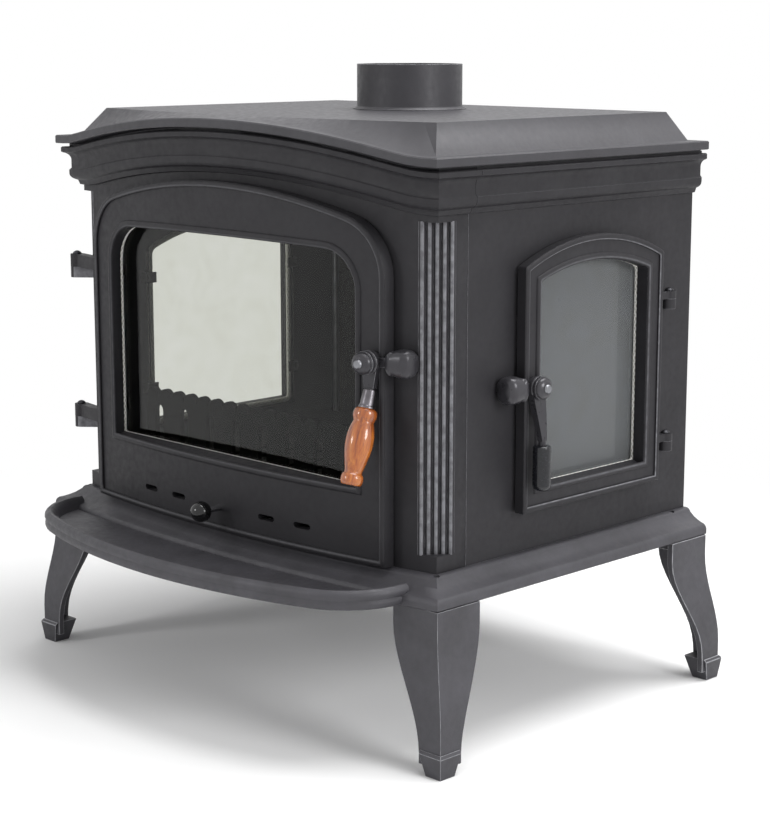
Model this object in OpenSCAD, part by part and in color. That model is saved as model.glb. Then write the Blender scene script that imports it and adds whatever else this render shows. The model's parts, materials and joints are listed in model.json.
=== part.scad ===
// Free-standing cast-iron wood burning stove with a bowed glazed front door and a glazed side door.
// Seen from the front, +X is to the right, the front faces -Y and +Z is up. All sizes are in millimetres.

/* [Body] */
// Width across the side panels
body_w = 720; // [660:10:840]
// Depth from the front corners to the rear panel
body_d = 516; // [480:4:600]
// How far the middle of the bowed front stands ahead of its corners
front_bow = 34; // [24:1:44]
// Height of the foot of the walls above the floor
wall_foot_z = 245; // [235:1:300]
// Height of the side walls
wall_h = 460; // [455:5:520]
// Thickness of the cast walls
wall_t = 10; // [8:0.5:12]
// Depth of the front casting's return along each side
return_d = 53; // [46:1:70]
// Width of the open seam between two castings
seam = 0.8; // [0.4:0.1:1.5]
// Rise of the eyebrow arch over the front
arch_rise = 37; // [25:1:40]
// Half of the span of the eyebrow arch
arch_half_span = 325; // [300:5:335]

/* [Pilasters] */
// Width of the cut-off front corners, along the front
pilaster_w = 29; // [22:1:34]
// Depth of the cut-off front corners, along the side
pilaster_d = 32; // [24:1:36]
// Height of the sharp corner below a pilaster
pilaster_foot = 22; // [12:1:40]
// Height of the sharp corner above a pilaster
pilaster_head = 16; // [10:1:30]
// Number of reeds on each pilaster
reeds = 5; // [3:1:7]

/* [Cornice and lid] */
// Height of the cornice moulding
cornice_h = 51; // [46:1:60]
// How far the cornice stands out at its top
cornice_out = 23; // [20:1:25]
// Overhang of the lid at the front
lid_front = 30.5; // [28:0.5:40]
// Overhang of the lid at each side
lid_side = 25.6; // [25.2:0.2:36]
// Height of the upright edge of the lid
lid_edge_h = 12; // [8:1:14]
// Height of the flat top above the lid's lower edge
lid_h = 53; // [52:1:60]
// Width of the flat ledge round the raised top, at the front and sides
ledge = 26; // [15:1:32]
// Width of the flat ledge behind the raised top
ledge_back = 14; // [8:1:20]
// Distance of the raised top from the lid's front edge
hip_front = 55; // [48:1:70]
// Distance of the raised top from the lid's side edges
hip_side = 52.5; // [48:0.5:70]
// Distance of the raised top from the lid's back edge
hip_back = 30; // [24:1:40]
// Height of the shadow gap under the lid's edge
shadow_gap = 2; // [1:0.5:4]
// Depth of the recess under the lid's edge
recess = 9; // [5:0.5:12]
// Thickness of the lid casting
lid_t = 9; // [7:0.5:11]

/* [Flue collar] */
// Outer diameter of the flue collar
collar_d = 152; // [120:1:180]
// Height of the flue collar
collar_h = 64; // [45:1:90]
// Wall of the flue collar
collar_wall = 6; // [4:0.5:8]
// Distance of the collar's axis behind the middle of the body
collar_y = 59; // [40:1:75]

/* [Base and legs] */
// Height of the moulded base plate
base_h = 34; // [30:1:40]
// Overhang of the base plate at the front and sides
base_out = 40; // [34:1:46]
// Overhang of the base plate at the back
base_back = 2; // [0:0.5:6]
// Thickness of the base plate's floor
base_floor_t = 10; // [8:0.5:14]
// Width of each leg face at its top
leg_top_w = 78; // [64:1:86]
// Width of each leg face at the ankle
leg_ankle_w = 38; // [30:1:44]
// Thickness of the leg's wall
leg_wall = 9; // [7:0.5:12]
// How far the foot kicks out sideways beyond the top of the leg
leg_kick = 18.5; // [10:0.5:24]
// How far the foot kicks out to the front or back beyond the top of the leg
leg_end_kick = 13; // [6:0.5:18]
// Height of the foot at the bottom of each leg
foot_h = 33; // [24:1:42]
// Width of the sole of each foot
foot_w = 26; // [22:1:32]

/* [Ash lip] */
// How far the ash lip reaches ahead of the bowed wall
lip_reach = 155; // [130:1:170]
// Radius of the ash lip's bowed front edge
lip_bow_r = 850; // [700:10:1200]
// Half of the width of the ash lip
lip_half_w = 347; // [300:1:350]
// Radius of the ash lip's rounded corners
lip_corner_r = 105; // [85:1:120]
// Height of the ash lip's rim
lip_h = 26; // [22:1:32]
// Width of the ash lip's rolled rim
lip_rim_w = 20; // [14:1:24]

/* [Front door] */
// Half of the width of the front door
door_half_w = 298; // [285:1:300]
// Height of the door's lower edge above the foot of the walls
door_foot = 2; // [1:0.5:8]
// Distance of the door's crown below the cornice at the middle
door_crown_gap = 18; // [14:1:26]
// Radius of the door's arched top
door_arch_r = 940; // [880:10:1100]
// Radius of the door's shoulders
door_shoulder_r = 80; // [72:1:90]
// Distance of the door's face from the wall behind it
door_proud = 20; // [18:0.5:24]
// Gap between the door's back and the wall
door_gap = 4; // [3.5:0.5:6]
// Width of the raised border round the door
border_w = 8; // [6:0.5:12]
// Height of the raised border above the door's panel
border_h = 2; // [1:0.5:3]
// How far the door overlaps its opening
door_overlap = 16; // [14:0.5:18]

/* [Front window] */
// Half of the width of the front window
window_half_w = 250; // [235:1:252]
// Height of the window's sill above the foot of the walls
window_foot = 101; // [95:1:115]
// Height of the front window
window_h = 306; // [295:1:310]
// Radius of the window's upper corners
window_corner_r = 52; // [40:1:60]
// Rise of the sloping sill from front to back
sill_rise = 10; // [6:0.5:13]
// Width of the collar behind the door that carries the glass
glass_land = 24; // [22:0.5:26]
// Distance of the glass seat ahead of the line between the front corners
glass_plane = 21; // [19:0.5:24]

/* [Glass and seals] */
// Thickness of the ceramic glass
glass_t = 4; // [3:0.5:5]
// How far the glass reaches past its opening
glass_lap = 11; // [10:0.5:12]
// Width of the rope seal round the glass
glass_rope_w = 9; // [7:0.5:10]
// Thickness of the rope seal round the glass
glass_rope_t = 7; // [5:0.5:8]
// Width of the rope seal round a door
door_rope_w = 8; // [6:0.5:9]
// Depth of the rope's groove in the door
rope_groove = 4.4; // [3:0.1:5]

/* [Side door and left window] */
// Half of the width of the side door
side_half_w = 143.5; // [135:0.5:150]
// Distance of the side door's middle behind the middle of the body
side_y = 29; // [20:1:34]
// Height of the side door's lower edge above the foot of the walls
side_foot = 56; // [45:1:65]
// Height of the side door at its crown
side_h = 356; // [340:1:370]
// Radius of the side door's arched top
side_arch_r = 326; // [300:1:380]
// Distance of the side door's face from the wall
side_proud = 18; // [17:0.5:22]
// Width of the side door's frame beside the glass
side_stile = 32.5; // [29:0.5:36]
// Width of the side door's frame below the glass
side_rail = 32; // [29:0.5:40]
// How far the side door's glass seat lies behind the wall's face
side_glass_depth = 2; // [1:0.5:4]
// Half of the width of the left window
left_half_w = 136; // [120:1:145]
// Distance of the left window's middle behind the middle of the body
left_y = -8; // [-20:1:10]

/* [Hinges] */
// Diameter of the hinge knuckles
knuckle_d = 20; // [17:0.5:22]
// Diameter of the hinge pins
pin_d = 8; // [6:0.5:10]
// Radial running clearance of pins and spindles
running_gap = 0.05; // [0.02:0.01:0.09]
// Height of the front door's hinge arms
arm_h = 18; // [12:1:24]
// Height of the fixed knuckle under the front door's arms
barrel_h = 16; // [12:1:22]
// Height of the front door's lower hinge above the foot of the walls
hinge_low = 108; // [80:1:130]
// Distance between the front door's hinges
hinge_pitch = 225; // [200:1:260]
// Height of the side door's hinge arms
side_arm_h = 10; // [8:0.5:14]
// Height of the fixed knuckle under the side door's arms
side_barrel_h = 14; // [10:1:18]
// Height of the side door's lower hinge above the foot of the walls
side_hinge_low = 110; // [80:1:130]
// Distance between the side door's hinges
side_hinge_pitch = 201; // [160:1:220]
// Distance of a hinge pin beyond the edge of its side door
side_pin_reach = 20; // [18:0.5:26]
// Gap between pieces that turn past each other
turn_gap = 0.4; // [0.3:0.1:0.8]

/* [Latches] */
// Distance of the latch's axis from the edge of the front door
latch_inset = 20; // [18:1:24]
// Height of the front latch above the foot of the walls
latch_z = 268; // [240:1:300]
// Distance of the latch's axis from the edge of the side door
side_latch_inset = 17; // [16:0.5:20]
// Height of the side latch above the foot of the walls
side_latch_z = 223; // [200:1:250]
// Diameter of the latch hub
hub_d = 30; // [26:1:32]
// Length of the latch hub
hub_l = 34; // [28:1:40]
// Length of the side latch's hub
side_hub_l = 26; // [22:1:30]
// Diameter of the latch spindle
spindle_d = 8; // [6:0.5:8.5]
// Length of the catch that the latch pulls against
catch_l = 36; // [32:1:40]
// Height of the catch
catch_h = 36; // [30:1:42]
// How far the catch stands out from the wall
catch_out = 32; // [31:0.5:38]
// Length of the turned wooden grip
grip_l = 98; // [85:1:115]
// Diameter of the wooden grip at its widest
grip_d = 34; // [28:1:36]
// Outward lean of the front handle in degrees
handle_lean = 19.5; // [12:0.5:24]
// Length of the side handle's grip
side_grip_l = 60; // [50:1:75]
// Diameter of the side handle's grip
side_grip_d = 24; // [20:0.5:28]

/* [Air control] */
// Diameter of the ball knob
knob_d = 29; // [24:0.5:32]
// Length of rod between the door's face and the knob's centre
knob_reach = 50; // [45:1:60]
// Diameter of the air rod
air_rod_d = 8; // [6:0.5:9]
// Height of the air rod above the foot of the walls
air_z = 34; // [30:1:40]
// How far the air control, which stands pushed in, is pulled out to close the slots
air_travel = 18; // [12:1:22]
// Length of each air slot
slot_l = 30; // [20:1:36]
// Height of each air slot
slot_h = 8; // [5:0.5:9]
// Distance of the inner air slots from the middle
slot_inner_x = 92; // [80:1:100]
// Distance of the outer air slots from the middle
slot_outer_x = 158; // [150:1:170]

/* [Firebox] */
// Height of the grate's top above the foot of the walls
grate_z = 56; // [52:1:62]
// Thickness of the grate
grate_t = 10; // [8:1:12]
// Width of the grate
grate_w = 440; // [380:10:460]
// Depth of the grate
grate_d = 300; // [260:10:320]
// Thickness of the hearth plates beside the grate
hearth_t = 6; // [5:0.5:8]
// Distance of the log guard behind the line between the front corners
guard_y = 40; // [36:1:52]
// Distance of the log guard's lobes from centre to centre
guard_pitch = 28.5; // [26:0.5:30]
// Height of the log guard above the hearth
guard_h = 102; // [90:1:110]
// Thickness of the firebrick lining
brick_t = 25; // [18:1:30]
// Height of the fireback above the hearth
fireback_h = 330; // [280:5:340]
// Height of the baffle above the hearth
baffle_z = 350; // [345:5:355]
// Thickness of the baffle
baffle_t = 12; // [8:1:16]

/* [Fasteners] */
// Diameter of the bolts
bolt_d = 8; // [6:1:10]
// Diameter of the small screws
screw_d = 5; // [4:0.5:6]

/* [Hidden] */

// Body
half_w = body_w / 2;
front_y = -body_d / 2;
back_y = body_d / 2;
wall_top_z = wall_foot_z + wall_h;
base_foot_z = wall_foot_z - base_h;
lid_foot_z = wall_top_z + cornice_h;
lid_top_z = lid_foot_z + lid_h;
seam_y = front_y + return_d;
bow_r = (half_w * half_w + front_bow * front_bow) / (2 * front_bow);
bow_centre_y = front_y - front_bow + bow_r;
// The body is set back so that the whole stove is centred over the origin, from ash lip to rear feet.
toe_reach = 4;
foot_back = back_y + base_back - 2 + leg_end_kick + toe_reach;
body_y = (lip_reach + front_bow - front_y - foot_back) / 2;
arch_ease = 2;
front_steps = 36;
beyond = 60;

// Doors and windows, as heights above the floor
door_z0 = wall_foot_z + door_foot;
door_z1 = wall_top_z + arch_rise - door_crown_gap;
window_z0 = wall_foot_z + window_foot;
window_z1 = window_z0 + window_h;
window_top_r = 6000;
seat_y = front_y - glass_plane;
side_z0 = wall_foot_z + side_foot;
side_z1 = side_z0 + side_h;
side_window_z0 = side_z0 + side_rail;
side_window_z1 = side_z1 - side_stile - 2;
opening_foot = 12;
side_overlap = door_overlap - 5;
side_land = 18;
side_rope_w = door_rope_w - 1;

// Hinge axes and latch axes, relative to the middle of the body
pin_x = -half_w - 4;
pin_y = front_y - 13;
side_pin_x = half_w + 13;
side_pin_y = side_y + side_half_w + side_pin_reach;
pin_head_d = pin_d + 5;
latch_x = door_half_w - latch_inset;
latch_turn = asin(latch_x / bow_r);
latch_h = wall_foot_z + latch_z;
side_latch_y = side_y - side_half_w + side_latch_inset;
side_latch_h = wall_foot_z + side_latch_z;
ferrule_l = 26;
side_arm_l = 75;
side_rod_d = 10;

// Firebox
inner_w = body_w - 2 * wall_t;
hearth_top_z = wall_foot_z + grate_z;
sheet_t = 2;
// The baffle lies above the fireback, on ledges above the side windows.
ledge_t = 8;
baffle_foot = max(hearth_top_z + baffle_z, hearth_top_z + fireback_h + 12,
    side_window_z1 + glass_lap + ledge_t + 1.5);

// ---------- Shared curves and shapes ----------

// Height of the eyebrow arch above the straight side mouldings, at distance x from the middle
function eyebrow(x) = let (t = arch_rise * (1 - pow(x / arch_half_span, 2)))
    (t + sqrt(t * t + pow(2 * arch_ease, 2))) / 2;
function arch(x) = eyebrow(x) - eyebrow(half_w);

// Y of the bowed wall at distance x from the middle, grown outward by out
function bow_y(x, out) = bow_centre_y - sqrt(pow(bow_r + out, 2) - x * x);

// Arc of n + 1 points
function arc(centre, r, from, to, n) =
    [for (i = [0:n]) centre + r * [cos(from + (to - from) * i / n), sin(from + (to - from) * i / n)]];

// Upright outline with a flat foot, straight sides, round shoulders and an arched top
function arched(half, z0, z1, top_r, shoulder_r) =
    let (
        lean = asin((half - shoulder_r) / (top_r - shoulder_r)),
        shoulder_z = z1 - top_r + (top_r - shoulder_r) * cos(lean)
    )
    concat(
        [[-half, z0], [half, z0]],
        arc([half - shoulder_r, shoulder_z], shoulder_r, 0, 90 - lean, 8),
        arc([0, z1 - top_r], top_r, 90 - lean, 90 + lean, 20),
        arc([shoulder_r - half, shoulder_z], shoulder_r, 90 + lean, 180, 8)
    );

// Outlines of the doors and windows, each drawn in by inset
function door_outline(inset) =
    arched(door_half_w - inset, door_z0 + inset, door_z1 - inset, door_arch_r - inset, door_shoulder_r - inset);
function window_outline(grow) =
    arched(window_half_w + grow, window_z0 - grow, window_z1 + grow, window_top_r, window_corner_r + grow);
function side_outline(inset) =
    arched(side_half_w - inset, side_z0 + inset, side_z1 - inset, side_arch_r - inset, 4);
function side_window_outline(grow) =
    arched(side_half_w - side_stile + grow, side_window_z0 - grow, side_window_z1 + grow, side_arch_r + grow, 4);
function left_window_outline(grow) =
    arched(left_half_w + grow, side_window_z0 - grow, side_window_z1 + grow, side_arch_r + grow, 4);

// Horizontal loop round the body: front from left to right, then the two rear corners
function loop(front, side, back, z, lift = 1) = concat(
    [for (i = [0:front_steps]) let (u = 2 * i / front_steps - 1)
        [u * (half_w + side), front_y - front - front_bow * (1 - u * u), z + lift * arch(u * half_w)]],
    [[half_w + side, back_y + back, z], [-half_w - side, back_y + back, z]]
);

// Solid through a stack of closed loops, from the lowest to the highest, in triangles
module skin(loops) {
    n = len(loops[0]);
    m = len(loops);
    mid = front_steps / 2;
    sides = [for (j = [0:m - 2], i = [0:n - 1]) let (a = j * n + i, b = j * n + (i + 1) % n)
        each [[a, a + n, b], [b, a + n, b + n]]];
    // Each end is a fan from the two rear corners to the front edge
    fan = concat(
        [for (i = [0:mid - 1]) [i, i + 1, n - 1]],
        [[mid, n - 2, n - 1]],
        [for (i = [mid:front_steps - 1]) [i, i + 1, n - 2]]
    );
    top = [for (f = fan) [for (k = [2, 1, 0]) f[k] + (m - 1) * n]];
    polyhedron(points = [for (l = loops) each l], faces = concat(sides, fan, top));
}

// Everything is drawn about the middle of the body and set back from there
module place() {
    translate([0, body_y, 0]) children();
}

// Upright slab seen from the front, between two distances behind the origin
module slab_xz(points, y0, y1) {
    translate([0, y1, 0]) rotate([90, 0, 0]) linear_extrude(y1 - y0) polygon(points);
}

// Upright slab seen from the right, between two distances from the middle
module slab_yz(points, x0, x1, y = 0) {
    translate([x0, y, 0]) rotate([90, 0, 90]) linear_extrude(x1 - x0) polygon(points);
}

// Ring between two outlines
module ring_xz(outer, inner, y0, y1) {
    difference() {
        slab_xz(outer, y0, y1);
        slab_xz(inner, y0 - 1, y1 + 1);
    }
}

module ring_yz(outer, inner, x0, x1, y) {
    difference() {
        slab_yz(outer, x0, x1, y);
        slab_yz(inner, x0 - 1, x1 + 1, y);
    }
}

// The bowed front wall's surface grown outward, as a disc seen from above
module bow_disc(out) {
    translate([0, bow_centre_y]) circle(r = bow_r + out, $fn = 720);
}

// Layer that follows the bow between two distances from the wall's face
module bow_layer(inner, outer) {
    linear_extrude(lid_top_z) difference() {
        bow_disc(outer);
        bow_disc(inner);
    }
}

// Front piece that follows the bow, with the given outline
module bowed(points, inner, outer) {
    intersection() {
        slab_xz(points, front_y - front_bow - beyond, front_y + beyond);
        bow_layer(inner, outer);
    }
}

// Outline of the walls from above, grown outward
module plan(out) {
    intersection() {
        bow_disc(out);
        translate([-half_w - out, front_y - front_bow - beyond])
            square([2 * (half_w + out), body_d + front_bow + beyond + out]);
    }
}

// Hexagon-headed bolt with its head below the origin and its shank going up
module bolt_up(d, l) {
    cylinder(d = d, h = l, $fn = 32);
    translate([0, 0, -0.65 * d]) cylinder(d = 1.8 * d, h = 0.65 * d, $fn = 6);
}

// Dome-headed screw with its head above the origin and its shank going down
module dome_screw(d, l) {
    translate([0, 0, -l]) cylinder(d = d, h = l + 0.1, $fn = 32);
    intersection() {
        translate([0, 0, -0.5 * d]) sphere(r = 1.1 * d, $fn = 40);
        cylinder(r = 2 * d, h = 2 * d, $fn = 32);
    }
}

// ---------- Base, legs and ash lip ----------

// Moulded edge of the base, as [distance out from the wall, height above its foot]
function base_edge() = concat(
    [[base_out - 1.5, 0], [base_out, 1.5]],
    [for (p = arc([base_out - 9, 7], 9, 0, 60, 5)) p],
    [for (t = [0.25, 0.5, 0.75])
        [base_out - 4.5 - (base_out - 17) * t, 14.8 + (base_h - 23) * pow(t, 1.3)]],
    [for (p = arc([3, base_h - 8.5], 8.5, 20, 90, 5)) p]
);

module base_plate() {
    pocket_top = wall_foot_z - base_floor_t;
    color("#4a4a4d") place() difference() {
        skin([for (p = base_edge()) loop(p.x, p.x, base_back, base_foot_z + p.y, 0)]);
        // Hollow below, except for the corners over the legs
        translate([leg_top_w - 10 - half_w, front_y, base_foot_z - 1])
            cube([body_w - 2 * leg_top_w + 20, body_d - 12, pocket_top - base_foot_z + 1]);
        translate([-half_w, front_y + leg_top_w + 6, base_foot_z - 1])
            cube([body_w, body_d - 2 * leg_top_w - 12, pocket_top - base_foot_z + 1]);
        for (sx = [-1, 1], sy = [-1, 1])
            translate([sx * leg_bolt_x, sy * leg_bolt_y(sy), base_foot_z - 1])
                cylinder(d = bolt_d, h = base_h + 2, $fn = 32);
        for (sx = [-1, 1]) translate([sx * lip_bolt_x, lip_bolt_y, base_foot_z - 1])
            cylinder(d = bolt_d, h = base_h * 0.6, $fn = 32);
    }
}

// Leg profiles: how far its ridge stands out, and how wide each face is, at a share t of its height
leg_end = 14;
function ease(v) = let (c = min(1, max(0, v))) c * c * (3 - 2 * c);
function leg_out(t, kick) = base_out + 1 + kick * ease((0.86 - t) / 0.65);
function leg_face(t) = leg_top_w - (leg_top_w - leg_ankle_w) * ease((0.86 - t) / 0.79);
function leg_t(i) = i / 14;
leg_bolt_x = half_w + base_out - 36;
function leg_bolt_y(side) = side < 0 ? body_d / 2 + base_out - 36 : body_d / 2 + base_back - 36;
lip_bolt_x = 210;
lip_bolt_y = front_y - front_bow / 2 - 14;

// One face of a leg: x runs inward from the ridge, the face looks towards -Y
module leg_face_wall(out_x, kick_x, out_y, kick_y) {
    rise = function (t) leg_end + (base_foot_z - leg_end) * t;
    ridge = [for (i = [0:14]) [out_x + leg_out(leg_t(i), kick_x), rise(leg_t(i))]];
    inner = [for (i = [14:-1:0]) [out_x + leg_out(leg_t(i), kick_x) - leg_face(leg_t(i)), rise(leg_t(i))]];
    outer_y = [for (i = [0:14]) [-out_y - leg_out(leg_t(i), kick_y), rise(leg_t(i))]];
    inner_y = [for (i = [14:-1:0]) [-out_y - leg_out(leg_t(i), kick_y) + leg_wall, rise(leg_t(i))]];
    intersection() {
        slab_xz(concat(ridge, inner), -out_y - 2 * beyond, -out_y + beyond);
        slab_yz(concat(outer_y, inner_y), out_x - leg_top_w, out_x + 2 * beyond);
    }
}

// Outline of a foot beside its ridge, which lies at distance r: it narrows downward to its sole
function foot_outline(r) = [[r - foot_w, 0], [r, 0], [r + toe_reach, foot_h - 4], [r + toe_reach - 3, foot_h],
    [r + 3 - leg_ankle_w, foot_h]];

// Foot, seen alike from the front and from the side
module foot(out_x, kick_x, out_y, kick_y) {
    ridge_x = out_x + leg_out(0, kick_x);
    ridge_y = out_y + leg_out(0, kick_y);
    intersection() {
        slab_xz(foot_outline(ridge_x), -ridge_y - beyond, beyond - ridge_y);
        mirror([0, 1, 0]) slab_yz(foot_outline(ridge_y), ridge_x - beyond, ridge_x + beyond);
    }
}

// Front right leg: a hollow angle with its ridge outward, a bolting pad on top and a foot below
module leg(out_x, out_y, kick_x, kick_y, bolt_y) {
    difference() {
        union() {
            leg_face_wall(out_x, kick_x, out_y, kick_y);
            mirror([1, 1, 0]) leg_face_wall(out_y, kick_y, out_x, kick_x);
            foot(out_x, kick_x, out_y, kick_y);
            translate([out_x + leg_out(1, kick_x) - leg_top_w + 6, -out_y - leg_out(1, kick_y) + 4, base_foot_z - 12])
                cube([leg_top_w - 10, leg_top_w - 10, 12]);
        }
        translate([leg_bolt_x, -bolt_y, base_foot_z - 20]) cylinder(d = bolt_d, h = 30, $fn = 32);
    }
}

module front_leg() {
    leg(half_w, body_d / 2, leg_kick, leg_end_kick, leg_bolt_y(-1));
}

// The rear legs stand further in, flush with the back, so that the stove can go close to a wall
module rear_leg() {
    mirror([0, 1, 0]) leg(half_w, body_d / 2 - base_out + base_back - 3, leg_kick, leg_end_kick, leg_bolt_y(1));
}

module leg_front_left() { color("#454549") place() mirror([1, 0, 0]) front_leg(); }
module leg_front_right() { color("#454549") place() front_leg(); }
module leg_rear_left() { color("#454549") place() mirror([1, 0, 0]) rear_leg(); }
module leg_rear_right() { color("#454549") place() rear_leg(); }

module leg_bolts() {
    color("#808084") place() for (sx = [-1, 1], sy = [-1, 1])
        translate([sx * leg_bolt_x, sy * leg_bolt_y(sy), base_foot_z - 12]) bolt_up(bolt_d, base_h);
}

// Plan of the ash lip, drawn in by inset, from its left rear end round the front to its right rear end
function lip_path(inset) =
    let (
        r = lip_corner_r - inset,
        big = lip_bow_r - inset,
        half = lip_half_w - inset,
        centre_y = front_y - front_bow - lip_reach + lip_bow_r,
        lean = asin((half - r) / (big - r)),
        corner_y = centre_y - (big - r) * cos(lean),
        end_y = front_y - base_out + 4
    )
    concat(
        [[-half, end_y]],
        arc([r - half, corner_y], r, 180, 270 - lean, 10),
        arc([0, centre_y], big, 270 - lean + 1.5, 270 + lean - 1.5, 24),
        arc([half - r, corner_y], r, 270 + lean, 360, 10),
        [[half, end_y]]
    );

// Section of the rolled rim, as [distance in from the lip's edge, height above the lip's foot]
function rim_section() = [
    [6, 0], [2, 1.5], [0.6, 5], [0.6, 9.5], [2.2, 12], [1.2, 13.5], [0, 17], [0.3, 20.5], [2, 23.5], [5, lip_h],
    [9, lip_h - 0.5], [13, lip_h - 4], [16, lip_h - 9.5], [lip_rim_w, 9], [lip_rim_w, 0]
];

// A closed section swept along the lip's plan
module swept_rim() {
    section = rim_section();
    n = len(section);
    paths = [for (s = section) lip_path(s.x)];
    m = len(paths[0]);
    points = [for (j = [0:m - 1], i = [0:n - 1]) [paths[i][j].x, paths[i][j].y, base_foot_z + section[i].y]];
    sides = [for (j = [0:m - 2], i = [0:n - 1])
        [j * n + i, j * n + (i + 1) % n, (j + 1) * n + (i + 1) % n, (j + 1) * n + i]];
    first = [for (i = [n - 1:-1:0]) i];
    last = [for (i = [0:n - 1]) (m - 1) * n + i];
    polyhedron(points = points, faces = concat(sides, [first, last]));
}

module ash_lip() {
    color("#525256") place() difference() {
        union() {
            swept_rim();
            translate([0, 0, base_foot_z]) linear_extrude(9) polygon(lip_path(8));
            lip_tab(-lip_bolt_x);
            lip_tab(lip_bolt_x);
        }
        // The lip meets the moulded edge of the base without cutting into it
        skin([for (p = base_edge()) loop(p.x, p.x, base_back, base_foot_z + p.y, 0)]);
        for (sx = [-1, 1]) translate([sx * lip_bolt_x, lip_bolt_y, base_foot_z - 20])
            cylinder(d = bolt_d, h = 40, $fn = 32);
    }
}

// Tab that runs back under the base plate to a bolt
module lip_tab(x) {
    translate([x - 20, lip_bolt_y - 40, base_foot_z - 5]) cube([40, 56, 5]);
}

module ash_lip_bolts() {
    color("#808084") place() for (sx = [-1, 1])
        translate([sx * lip_bolt_x, lip_bolt_y, base_foot_z - 5]) bolt_up(bolt_d, 18);
}

// ---------- Walls ----------

// Everything under the eyebrow arch whose straight ends are at height z, seen from the front
function under_arch(z) = concat(
    [[-half_w - beyond, wall_foot_z], [half_w + beyond, wall_foot_z], [half_w + beyond, z]],
    [for (i = [0:front_steps]) let (x = half_w * (1 - 2 * i / front_steps)) [x, z + arch(x)]],
    [[-half_w - beyond, z]]
);

// Ends of the line that cuts off the right front corner, seen from above, and its inward normal
cut_front = [half_w - pilaster_w, bow_y(half_w - pilaster_w, 0)];
cut_side = [half_w, front_y + pilaster_d];
cut_w = norm(cut_side - cut_front);
cut_in = [cut_front.y - cut_side.y, cut_side.x - cut_front.x] / cut_w;
reed_gap = 0.6;
reed_r = (cut_w / reeds - reed_gap) / 2;

// Everything outside that line, moved inward by a distance
module corner_cut(inward) {
    a = cut_front + inward * cut_in;
    b = cut_side + inward * cut_in;
    polygon([a - (b - a), a - (b - a) - 2 * beyond * cut_in, b + (b - a) - 2 * beyond * cut_in, b + (b - a)]);
}

// Thickened corner, cut off over the height of the pilaster, with a pointed lower end
module pilaster() {
    foot = wall_foot_z + pilaster_foot;
    top = wall_top_z - pilaster_head;
    difference() {
        translate([0, 0, wall_foot_z]) linear_extrude(wall_h) intersection() {
            plan(0);
            corner_cut(wall_t);
        }
        translate([0, 0, foot]) linear_extrude(top - foot) corner_cut(0);
    }
    reed_row(reed_r);
}

module reed_row(r) {
    for (i = [0:reeds - 1]) let (p = cut_front + (i + 0.5) * (cut_side - cut_front) / reeds)
        translate([p.x, p.y, wall_foot_z + pilaster_foot - 1])
            cylinder(r = r, h = wall_h - pilaster_foot - pilaster_head + 2, $fn = 40);
}

// Fixed knuckles of the front door's hinges, on the front's left corner
module front_knuckles() {
    for (k = [0, 1]) translate([0, 0, hinge_z(k) - turn_gap - barrel_h]) linear_extrude(barrel_h) {
        translate([pin_x, pin_y]) circle(d = knuckle_d, $fn = 48);
        polygon([[pin_x + 0.35 * knuckle_d, pin_y - 0.35 * knuckle_d], [-cut_front.x - 3, cut_front.y + 6],
            [-cut_side.x + 6, cut_side.y - 4], [pin_x - 0.35 * knuckle_d, pin_y + 0.35 * knuckle_d]]);
    }
}
function hinge_z(k) = wall_foot_z + hinge_low + k * hinge_pitch;
function side_hinge_z(k) = wall_foot_z + side_hinge_low + k * side_hinge_pitch;

module front_frame() {
    color("#3c3b3e") place() difference() {
        union() {
            intersection() {
                linear_extrude(lid_top_z) difference() {
                    plan(0);
                    plan(-wall_t);
                    translate([-half_w - beyond, seam_y]) square([body_w + 2 * beyond, body_d]);
                    corner_cut(0);
                    mirror([1, 0]) corner_cut(0);
                }
                slab_xz(under_arch(wall_top_z), front_y - front_bow - beyond, front_y + 2 * beyond);
            }
            pilaster();
            mirror([1, 0, 0]) pilaster();
            front_knuckles();
        }
        slab_xz(arched(door_half_w - door_overlap, door_z0 + opening_foot, door_z1 - door_overlap,
            door_arch_r - door_overlap, door_shoulder_r - door_overlap), front_y - front_bow - beyond, front_y + beyond);
        for (k = [0, 1]) translate([pin_x, pin_y, hinge_z(k) - turn_gap - barrel_h - 1])
            cylinder(d = pin_d + 2 * running_gap, h = barrel_h + 2, $fn = 48);
        front_catch_holes();
    }
}

// Side wall between the front casting and the back
module side_wall() {
    translate([half_w - wall_t, seam_y + seam, wall_foot_z]) cube([wall_t, back_y - seam_y - seam, wall_h]);
}

// Fixed knuckles of the side door's hinges
module side_knuckles() {
    for (k = [0, 1]) translate([0, 0, side_hinge_z(k) - turn_gap - side_barrel_h]) linear_extrude(side_barrel_h) {
        translate([side_pin_x, side_pin_y]) circle(d = knuckle_d, $fn = 48);
        translate([half_w - 1, side_pin_y - knuckle_d / 2]) square([side_pin_x - half_w + 1, knuckle_d]);
    }
}

module right_panel() {
    color("#4a494c") place() difference() {
        union() {
            side_wall();
            side_knuckles();
        }
        slab_yz(side_outline(side_overlap), half_w - 2 * wall_t, half_w + wall_t, side_y);
        for (k = [0, 1]) translate([side_pin_x, side_pin_y, side_hinge_z(k) - turn_gap - side_barrel_h - 1])
            cylinder(d = pin_d + 2 * running_gap, h = side_barrel_h + 2, $fn = 48);
        side_catch_holes();
    }
}

module left_panel() {
    color("#4a494c") place() difference() {
        mirror([1, 0, 0]) side_wall();
        slab_yz(left_window_outline(0), -half_w - wall_t, -half_w + 2 * wall_t, left_y);
        // Raised bead on the outside is the wall left standing round a shallow field
        difference() {
            slab_yz(left_window_outline(26), -half_w - 1, -half_w + 1.5, left_y);
            slab_yz(left_window_outline(14), -half_w - 2, -half_w + 2, left_y);
        }
    }
}

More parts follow.
